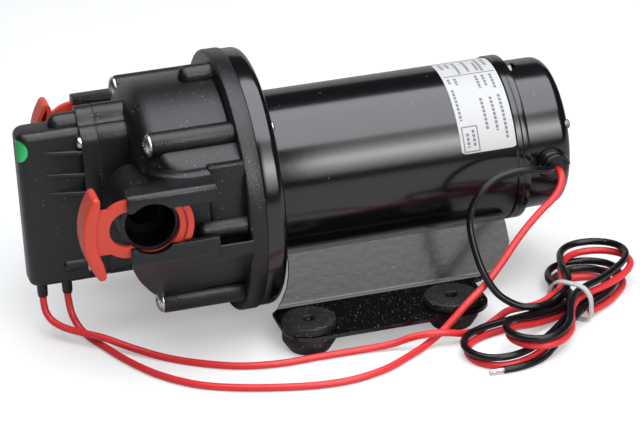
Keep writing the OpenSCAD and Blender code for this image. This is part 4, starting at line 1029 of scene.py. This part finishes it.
# %% [markdown]
# Pressure switch cover
#
# The cover is a narrow dome on a flange with the block's outline. The dome is pressed from its
# plan, and its top and lower front edges are softened. A half-round stands over the top, two round
# bosses below, and three gussets on each side hold the dome to the flange. A thin gasket shows as
# a line behind it.

# %% Pressure switch cover
FLANGE_FRONT = -106.7
DOME_X, DOME_Y, DOME_R = -126.5, 2.7, 4.8
bm = bmesh.new()
flange = press(bm, [block_line], "x", FLANGE_FRONT, -100.6)
soften(bm, flange, 0.9, 3, 60)
plan = ([(-101, -7.5)] + arc(DOME_X, -DOME_Y, DOME_R, 270, 180, 8)
    + arc(DOME_X, DOME_Y, DOME_R, 180, 90, 8) + [(-101, 7.5)])
dome = press(bm, [plan], "z", 25, 90)
soften(bm, dome, 3.2, 6, 60, lambda p: p.z > 89.9)
soften(bm, bm.verts, 2.2, 4, 60, lambda p: p.z < 25.1 and p.x < -107)
bulge = rod(bm, "x", -117.7, -106, 0, 90.2, 4.2)
soften(bm, bulge, 3.6, 6, 50, lambda p: p.x < -117.6)
for s in (-1, 1):
    boss = rod(bm, "x", -118, -106, s * 6.3, 32.4, 2.6)
    soften(bm, boss, 2.2, 5, 50, lambda p: p.x < -117.9)
    gusset = [(-106, s * 6), (-106, s * 11.6), (-121.7, s * 7.6), (-121.7, s * 6)]
    for z in (81, 71.7, 63.9):
        rib = press(bm, [gusset], "z", z - 0.9, z + 0.9)
        soften(bm, rib, 0.7, 4, 40)
finish(bm, "switch_housing", [cover_black], "head_plastic", nodes=["switch_cover"])

GASKET_MID = 58.8
bm = bmesh.new()
press(bm, [[(p * 0.97, GASKET_MID + (q - GASKET_MID) * 0.99) for p, q in block_line]], "x",
    -100.6, -99.9)
finish(bm, "gasket", [rubber], "rubber", nodes=["switch_gasket"])

# %% [markdown]
# Cover screws and lead sleeves
#
# Four small screws hold the cover, and two vinyl sleeves below it take the red leads. All are
# turned from a short profile.

# %% Cover screws and lead sleeves
screw = [(-108.4, 0), (-108.4, 1.6), (-107.9, 2.2), (-107.3, 2.4), (-106.75, 2.4),
    (FLANGE_FRONT, 1.3), (-92, 1.3), (-92, 0)]
bm = bmesh.new()
for y in (-9.5, 9.5):
    for z in (32.3, 84.7):
        turn(bm, screw, 32, centre=(0, y, z))
finish(bm, "cover_pan_screws", [steel], "steel", nodes=["cover_screws"])

sleeve = [(25, 0), (25, 2.2), (19, 2.1), (18, 1.9), (18, 0)]
bm = bmesh.new()
for x in (-126, -116):
    turn(bm, sleeve, 28, Z, (x, 0, 0), X)
finish(bm, "sleeves", [vinyl], "rubber", nodes=["lead_sleeves"])

# %% [markdown]
# Round sticker
#
# A small plain green dot wraps the corner of the dome: a disc, cut into strips, is laid on the
# corner's round and runs on flat past both ends of it.

# %% Round sticker
DOT_R, DOT_Z = 4.6, 83.2
BEND_AT, LAID_AT = 4.9, 4.95
bm = bmesh.new()
bmesh.ops.create_circle(bm, cap_ends=True, segments=48, radius=DOT_R)
for step in range(-9, 10):
    slice_at(bm, (step * 0.5, 0, 0), X)
for v in bm.verts:
    bend = v.co.x / BEND_AT
    reach = max(math.radians(-25), min(math.radians(65), bend))
    spare = (bend - reach) * BEND_AT
    flat = math.radians(205) + reach
    out = Vector((math.cos(flat), math.sin(flat)))
    along = Vector((-math.sin(flat), math.cos(flat)))
    place = Vector((DOME_X, -DOME_Y)) + out * LAID_AT + along * spare
    v.co = (place.x, place.y, DOT_Z + v.co.y)
bmesh.ops.solidify(bm, geom=list(bm.faces), thickness=-0.12)
outward(bm, bm.verts)
finish(bm, "green_dot", [sticker_green], "sticker", nodes=["round_sticker"])

# %% [markdown]
# Mounting base
#
# The base is pressed from one sheet. Its wall and foot plate are first cut flat, as an outline of
# place along X and distance down from the saddle, sliced into strips at the bend, and then folded:
# down the slope, round the bend and out along the plate. The saddle is a rolled strip. Solidify
# gives the sheet its thickness and a small bevel its edge. The plate's faces are dusty and the
# sheet's rim keeps the paint, so the rim's material is one step back from the plate's.

# %% Mounting base
BEND_FROM, BEND_TO, BEND_R = 20.2, 24.2, 3.3
SHEET = 1.6
SADDLE_R = 33.85
PLATE_Y, PLATE_Z = -31.1, 8.3


def fold(down):
    slope, across, corner = Vector((-0.355, -0.935)), Vector((0.935, -0.355)), (-28.01, 10.43)
    if down < BEND_FROM:
        return Vector(corner) + slope * (down - BEND_FROM)
    if down > BEND_TO:
        return Vector((PLATE_Y - (down - BEND_TO), PLATE_Z))
    turned = (down - BEND_FROM) / BEND_R
    return Vector((PLATE_Y, PLATE_Z + BEND_R)) + across * BEND_R * math.cos(turned) + (
        slope * BEND_R * math.sin(turned))


bm = bmesh.new()
flat = ([(61, -1), (61.5, 2), (62, 10), (60.6, 13.8), (58.5, 16.9), (55.6, 19.8), (52, 22),
    (48, 23.6), (44, 25)] + arc(33.2, 41.3, 10.8, 0, 90, 10) + arc(-29.2, 41.3, 10.8, 90, 180, 10)
    + [(-40, 24.6), (-37.6, 22), (-34.8, 18.5), (-32.2, 14), (-30.7, 9), (-30, 4), (-30, -1)])
bm.faces.new([bm.verts.new((p, q, 0)) for p, q in flat])
for down in [19.8] + [BEND_FROM + 0.4 * i for i in range(11)] + [24.6]:
    slice_at(bm, (0, down, 0), Y)
for v in bm.verts:
    folded = fold(v.co.y)
    v.co = (v.co.x, folded.x, folded.y)
other_side(bm, list(bm.verts))
angles = [math.radians(a) for a in range(-40, 41, 2)]
rim = [bm.verts.new((-30, -SADDLE_R * math.sin(a), AXIS - SADDLE_R * math.cos(a))) for a in angles]
edges = [bm.edges.new(pair) for pair in zip(rim, rim[1:])]
rolled = only_verts(bmesh.ops.extrude_edge_only(bm, edges=edges)["geom"])
bmesh.ops.translate(bm, vec=(91, 0, 0), verts=rolled)
bmesh.ops.recalc_face_normals(bm, faces=bm.faces)
repaint([f for f in bm.faces if f.calc_center_median().z < PLATE_Z + 0.1])
base = finish(bm, "pressed_base", [base_paint, base_dusty], "gloss_paint", nodes=["mounting_base"])
thick = base.modifiers.new("sheet", "SOLIDIFY")
thick.thickness = SHEET * MM
thick.offset = 0
thick.material_offset_rim = -1
edge = base.modifiers.new("edge", "BEVEL")
edge.width = 0.3 * MM
edge.segments = 2
edge.harden_normals = True

# %% [markdown]
# Rubber feet
#
# Each foot is turned: a disc above the plate, a neck through it and a tapered foot below, with a
# screw hole down the middle.

# %% Rubber feet
profile = [(0, 2.5), (0, 8), (4.4, 10.8), (7.4, 10.8), (7.4, 8), (9.2, 8), (9.2, 10.8),
    (12.6, 10.8), (12.6, 2.5)]
bm = bmesh.new()
for x in (-29.4, 29.4):
    for y in (-47.9, 47.9):
        foot = turn(bm, profile, 56, Z, (x, y, 0), X)
        soften(bm, foot, 0.5, 3, 40)
finish(bm, "feet", [rubber], "rubber", nodes=["rubber_feet"])
